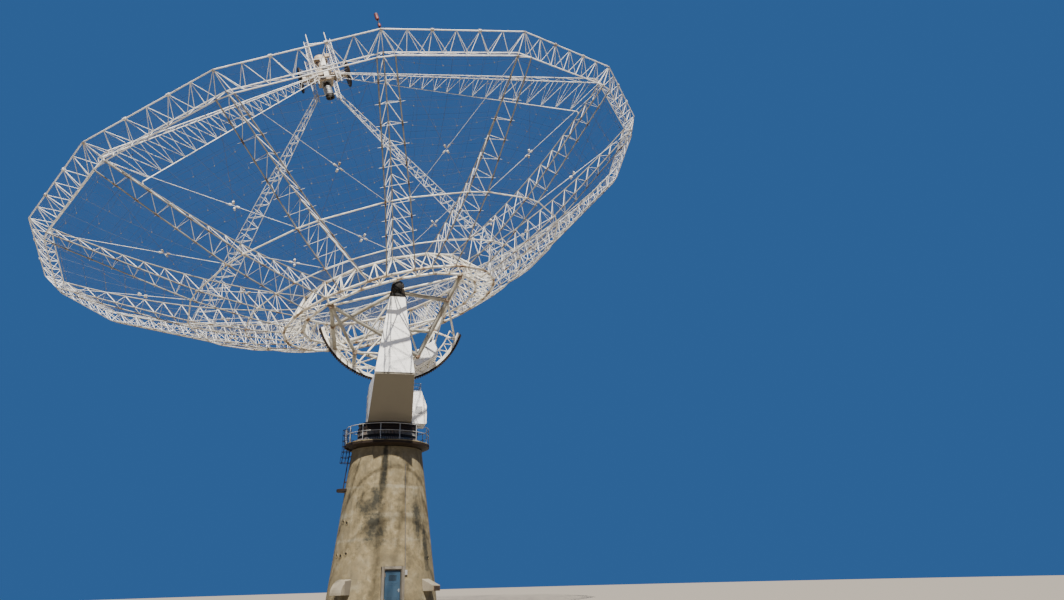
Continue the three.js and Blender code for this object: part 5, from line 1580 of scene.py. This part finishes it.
POSTS, RAIL_RADIUS, RAIL_HEIGHT = 14, 2.93, 1.12
hatch_side = math.asin(HATCH_HALF / RAIL_RADIUS)
stations = [(i + 0.5) * math.tau / POSTS for i in range(POSTS)]
stations = [a for a in stations if abs(((a - LADDER_ANGLE + math.pi) % math.tau) - math.pi) > hatch_side]
first = LADDER_ANGLE % math.tau
stations = sorted([(a - first) % math.tau for a in stations] + [hatch_side, math.tau - hatch_side])
rails = []
for a in stations:
    foot, head = (polar(a + first, RAIL_RADIUS, z) for z in (GALLERY_TOP, GALLERY_TOP + RAIL_HEIGHT))
    rails.append((foot, head, 0.028))
for height, thick_rail in ((RAIL_HEIGHT - 0.02, 0.028), (0.62, 0.024)):
    turns = [stations[0] + (stations[-1] - stations[0]) * i / 60 for i in range(61)]
    rails.append(([polar(a + first, RAIL_RADIUS, GALLERY_TOP + height) for a in turns], thick_rail))
as_piece("gallery_rails", [bar_mesh("rails", rails, GALVANISED, sides=6, grip=0.08)], "tower",
         ["gallery_railing"])

# %% Build the balcony and the ladder
BALCONY_LEVEL, BALCONY_RADIUS = 7.6, 0.59
wall_there = wall_radius(BALCONY_LEVEL)
turns = [math.radians(-96 + 12 * i) for i in range(17)]
plate = [Vector((BALCONY_RADIUS * math.sin(t), BALCONY_RADIUS * math.cos(t), z)) for t in turns
         for z in (BALCONY_LEVEL + 0.02, BALCONY_LEVEL + 0.21)]
balcony_at = facing(LADDER_ANGLE, wall_there - 0.02, 0)
landing = [hull_mesh("balcony", plate, DARK_RUST_AND_SHADE, balcony_at, bevel=0.02)]
as_piece("balcony_plate", landing, "tower", ["balcony"])

LADDER_HALF, CAGE_BOTTOM = 0.21, 9.6
STRINGER, BRACKET, RUNG, HOOP, CAGE_STRAP = 0.024, 0.022, 0.015, 0.02, 0.014
ladder_foot, ladder_head = BALCONY_LEVEL + 0.24, GALLERY_TOP + 1.05
cage_head = ladder_head - 0.04


def on_ladder(level, aside, out=0.0):
    lean = (BASE - TOP) / TOWER_HEIGHT
    return polar(LADDER_ANGLE, 2.6 + lean * max(0, TOWER_HEIGHT - level) + out, level, aside)


climb = []
for side in (-1, 1):
    stringer = [on_ladder(z, side * LADDER_HALF) for z in (ladder_foot, TOWER_HEIGHT, ladder_head)]
    climb.append((stringer, STRINGER))
    for level in (8.3, 9.6, 10.05):
        at_wall = on_ladder(level, side * LADDER_HALF, -0.17)
        climb.append((on_ladder(level, side * LADDER_HALF), at_wall, BRACKET))
rungs = 14
for i in range(rungs):
    level = ladder_foot + (ladder_head - ladder_foot) * (i + 0.5) / rungs
    climb.append((on_ladder(level, -LADDER_HALF), on_ladder(level, LADDER_HALF), RUNG))
cage_points = [(-LADDER_HALF, 0), (-0.3, 0.2), (-0.24, 0.42), (0, 0.54), (0.24, 0.42), (0.3, 0.2),
               (LADDER_HALF, 0)]
hoops = 7
for i in range(hoops):
    level = CAGE_BOTTOM + (cage_head - CAGE_BOTTOM) * i / (hoops - 1)
    climb.append(([on_ladder(level, aside, out) for aside, out in cage_points], HOOP))
for aside, out in cage_points[1:-1]:
    climb.append(([on_ladder(z, aside, out) for z in (CAGE_BOTTOM, TOWER_HEIGHT, cage_head)], CAGE_STRAP))
# The ladder's near-black is partly rust and partly painted shade.
as_piece("caged_ladder", [bar_mesh("ladder", climb, DARK_RUST_AND_SHADE, sides=6, grip=0.06)], "tower",
         ["tower_ladder"])
print("rungs:", rungs)

# %% [markdown]
# ## The doorway, the door and the two hoods
# A steel door hangs in a concrete frame, and two hoods cover openings low in the wall, one rounded and one
# slanted. The door is a sheet with pressed panels, a kick plate, louvres and a lever, and it swings on two
# hinges.

# %% Set the frame and hang the door
HINGE_X, HINGE_Y, BARREL, PANEL_WIDTH = 0.495, 3.44, 0.11, 0.76
JAMB_OUTLINE = ((0.515, 3.34), (0.745, 3.34), (0.745, 3.64), (0.58, 3.66), (0.515, 3.5))
LINTEL_OUTLINE = ((3.34, 2.405), (3.34, 2.63), (3.54, 2.63), (3.56, 2.48), (3.48, 2.405))


def barrels(levels):
    """Hinge barrels, one up from each level."""
    return [(Vector((HINGE_X, HINGE_Y, z)), Vector((HINGE_X, HINGE_Y, z + BARREL)), 0.028) for z in levels]


door_at = facing(DOOR_ANGLE, 0, 0)
frame_meshes = []
for side in (-1, 1):
    jamb = [(side * x, y, z) for z in (0.01, 2.63) for x, y in JAMB_OUTLINE]
    frame_meshes.append(hull_mesh("jamb", jamb, FRAME_GREY, door_at, bevel=0.012))
lintel = [(x, y, z) for x in (-0.745, 0.745) for y, z in LINTEL_OUTLINE]
frame_meshes.append(hull_mesh("lintel", lintel, FRAME_GREY, door_at, bevel=0.012))
frame_meshes.append(box_mesh("sill", (1.03, 0.34, 0.14), (0, 3.52, 0.075), CONCRETE, door_at, bevel=0.015))
frame_barrels = bar_mesh("frame_barrels", barrels((0.575, 2.125)), RUSTY, sides=10, grip=0, place=door_at)
frame_meshes.append(frame_barrels)
as_piece("door_surround", frame_meshes, "tower", ["door_frame"])

# The leaf's dark blue is partly painted shade of the doorway's recess.
leaf = [box_mesh("leaf", (0.984, 0.05, 2.21), (0, 3.41, 1.275), DOOR_BLUE_AND_SHADE, door_at, bevel=0.008)]
for level, high in ((1.95, 0.62), (1.17, 0.72), (0.5, 0.4)):
    half, width = high / 2, PANEL_WIDTH
    for x, z, w, h in ((0, level + half, width, 0.03), (0, level - half, width, 0.03),
                       (-width / 2, level, 0.03, high), (width / 2, level, 0.03, high)):
        leaf.append(box_mesh("panel_edge", (w, 0.016, h), (x, 3.437, z), DOOR_BLUE_AND_SHADE, door_at, bevel=0.004))
for i in range(5):
    leaf.append(box_mesh("door_louvre", (0.5, 0.014, 0.025), (0, 3.438, 1.8 + i * 0.07), DARK, door_at,
                         bevel=0.003))
leaf.append(box_mesh("kick_plate", (0.94, 0.01, 0.17), (0, 3.437, 0.27), GALVANISED, door_at, bevel=0.002))
leaf.append(box_mesh("lever_plate", (0.06, 0.012, 0.2), (-0.42, 3.44, 1.18), GALVANISED, door_at,
                     bevel=0.003))
lever = [([Vector((-0.42, 3.44, 1.2)), Vector((-0.42, 3.49, 1.2)), Vector((-0.3, 3.49, 1.2))], 0.011)]
leaf.append(bar_mesh("lever", lever, GALVANISED, sides=8, grip=0, place=door_at))
leaf.append(bar_mesh("leaf_barrels", barrels((0.455, 2.005)), RUSTY, sides=10, grip=0, place=door_at))
as_piece("steel_door", leaf, "door", ["tower_door"])

# %% Fix the hoods
LEFT_AT, RIGHT_AT = facing(math.radians(-45), 0, 0), facing(math.radians(50), 0, 0)
HOOD_WALL, HOOD_FLOOR = 3.42, 0.97
SLANT_OUTLINE = ((3.42, 1.08), (3.42, 1.87), (4.37, 1.08), (4.37, 1.42))
turns = [math.radians(10 * i) for i in range(10)]
hood_arc = [(HOOD_WALL + 0.95 * math.cos(t), HOOD_FLOOR + 0.96 * math.sin(t)) for t in turns]
round_hood = [(x, y, z) for x in (-0.48, 0.48) for y, z in [(HOOD_WALL, HOOD_FLOOR)] + hood_arc]
# The dark plate at the round hood's mouth is painted shade of the opening there.
left = [hull_mesh("round_hood", round_hood, HOOD_PAINT, LEFT_AT, bevel=0.02),
        box_mesh("hood_plate", (0.03, 0.62, 0.86), (-0.49, 3.72, 1.4), FRAME_GREY, LEFT_AT, bevel=0.008),
        box_mesh("hood_mouth", (0.8, 0.6, 0.03), (0, 3.9, 0.97), DARK, LEFT_AT, bevel=0.005)]
as_piece("left_hood_cover", left, "tower", ["left_hood"])
slant = [(x, y, z) for x in (-0.41, 0.41) for y, z in SLANT_OUTLINE]
right = [hull_mesh("slanted_hood", slant, HOOD_PAINT, RIGHT_AT, bevel=0.02),
         box_mesh("hood_end", (0.76, 0.03, 0.3), (0, 4.38, 1.24), RUSTY, RIGHT_AT, bevel=0.006)]
for i in range(4):
    right.append(box_mesh("hood_louvre", (0.68, 0.03, 0.03), (0, 4.392, 1.14 + 0.07 * i), DARK, RIGHT_AT,
                          bevel=0.004))
as_piece("right_hood_cover", right, "tower", ["right_hood"])
print("hoods:", 2)

# %% [markdown]
# ## Count, measure and finish
# The box round everything shown but the floor is measured, and the triangles that were added are counted.

# %% Measure the sizes and count the triangles
low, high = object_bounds()
total, largest = 0, ("", 0)
for item in bpy.context.scene.objects:
    if item.type == "MESH" and item.name not in nodes and item.name != "floor":
        triangles = sum(len(p.vertices) - 2 for p in item.data.polygons)
        total += triangles
        if triangles > largest[1]:
            largest = (item.name, triangles)
print("triangles added:", total, "most in one piece:", largest)
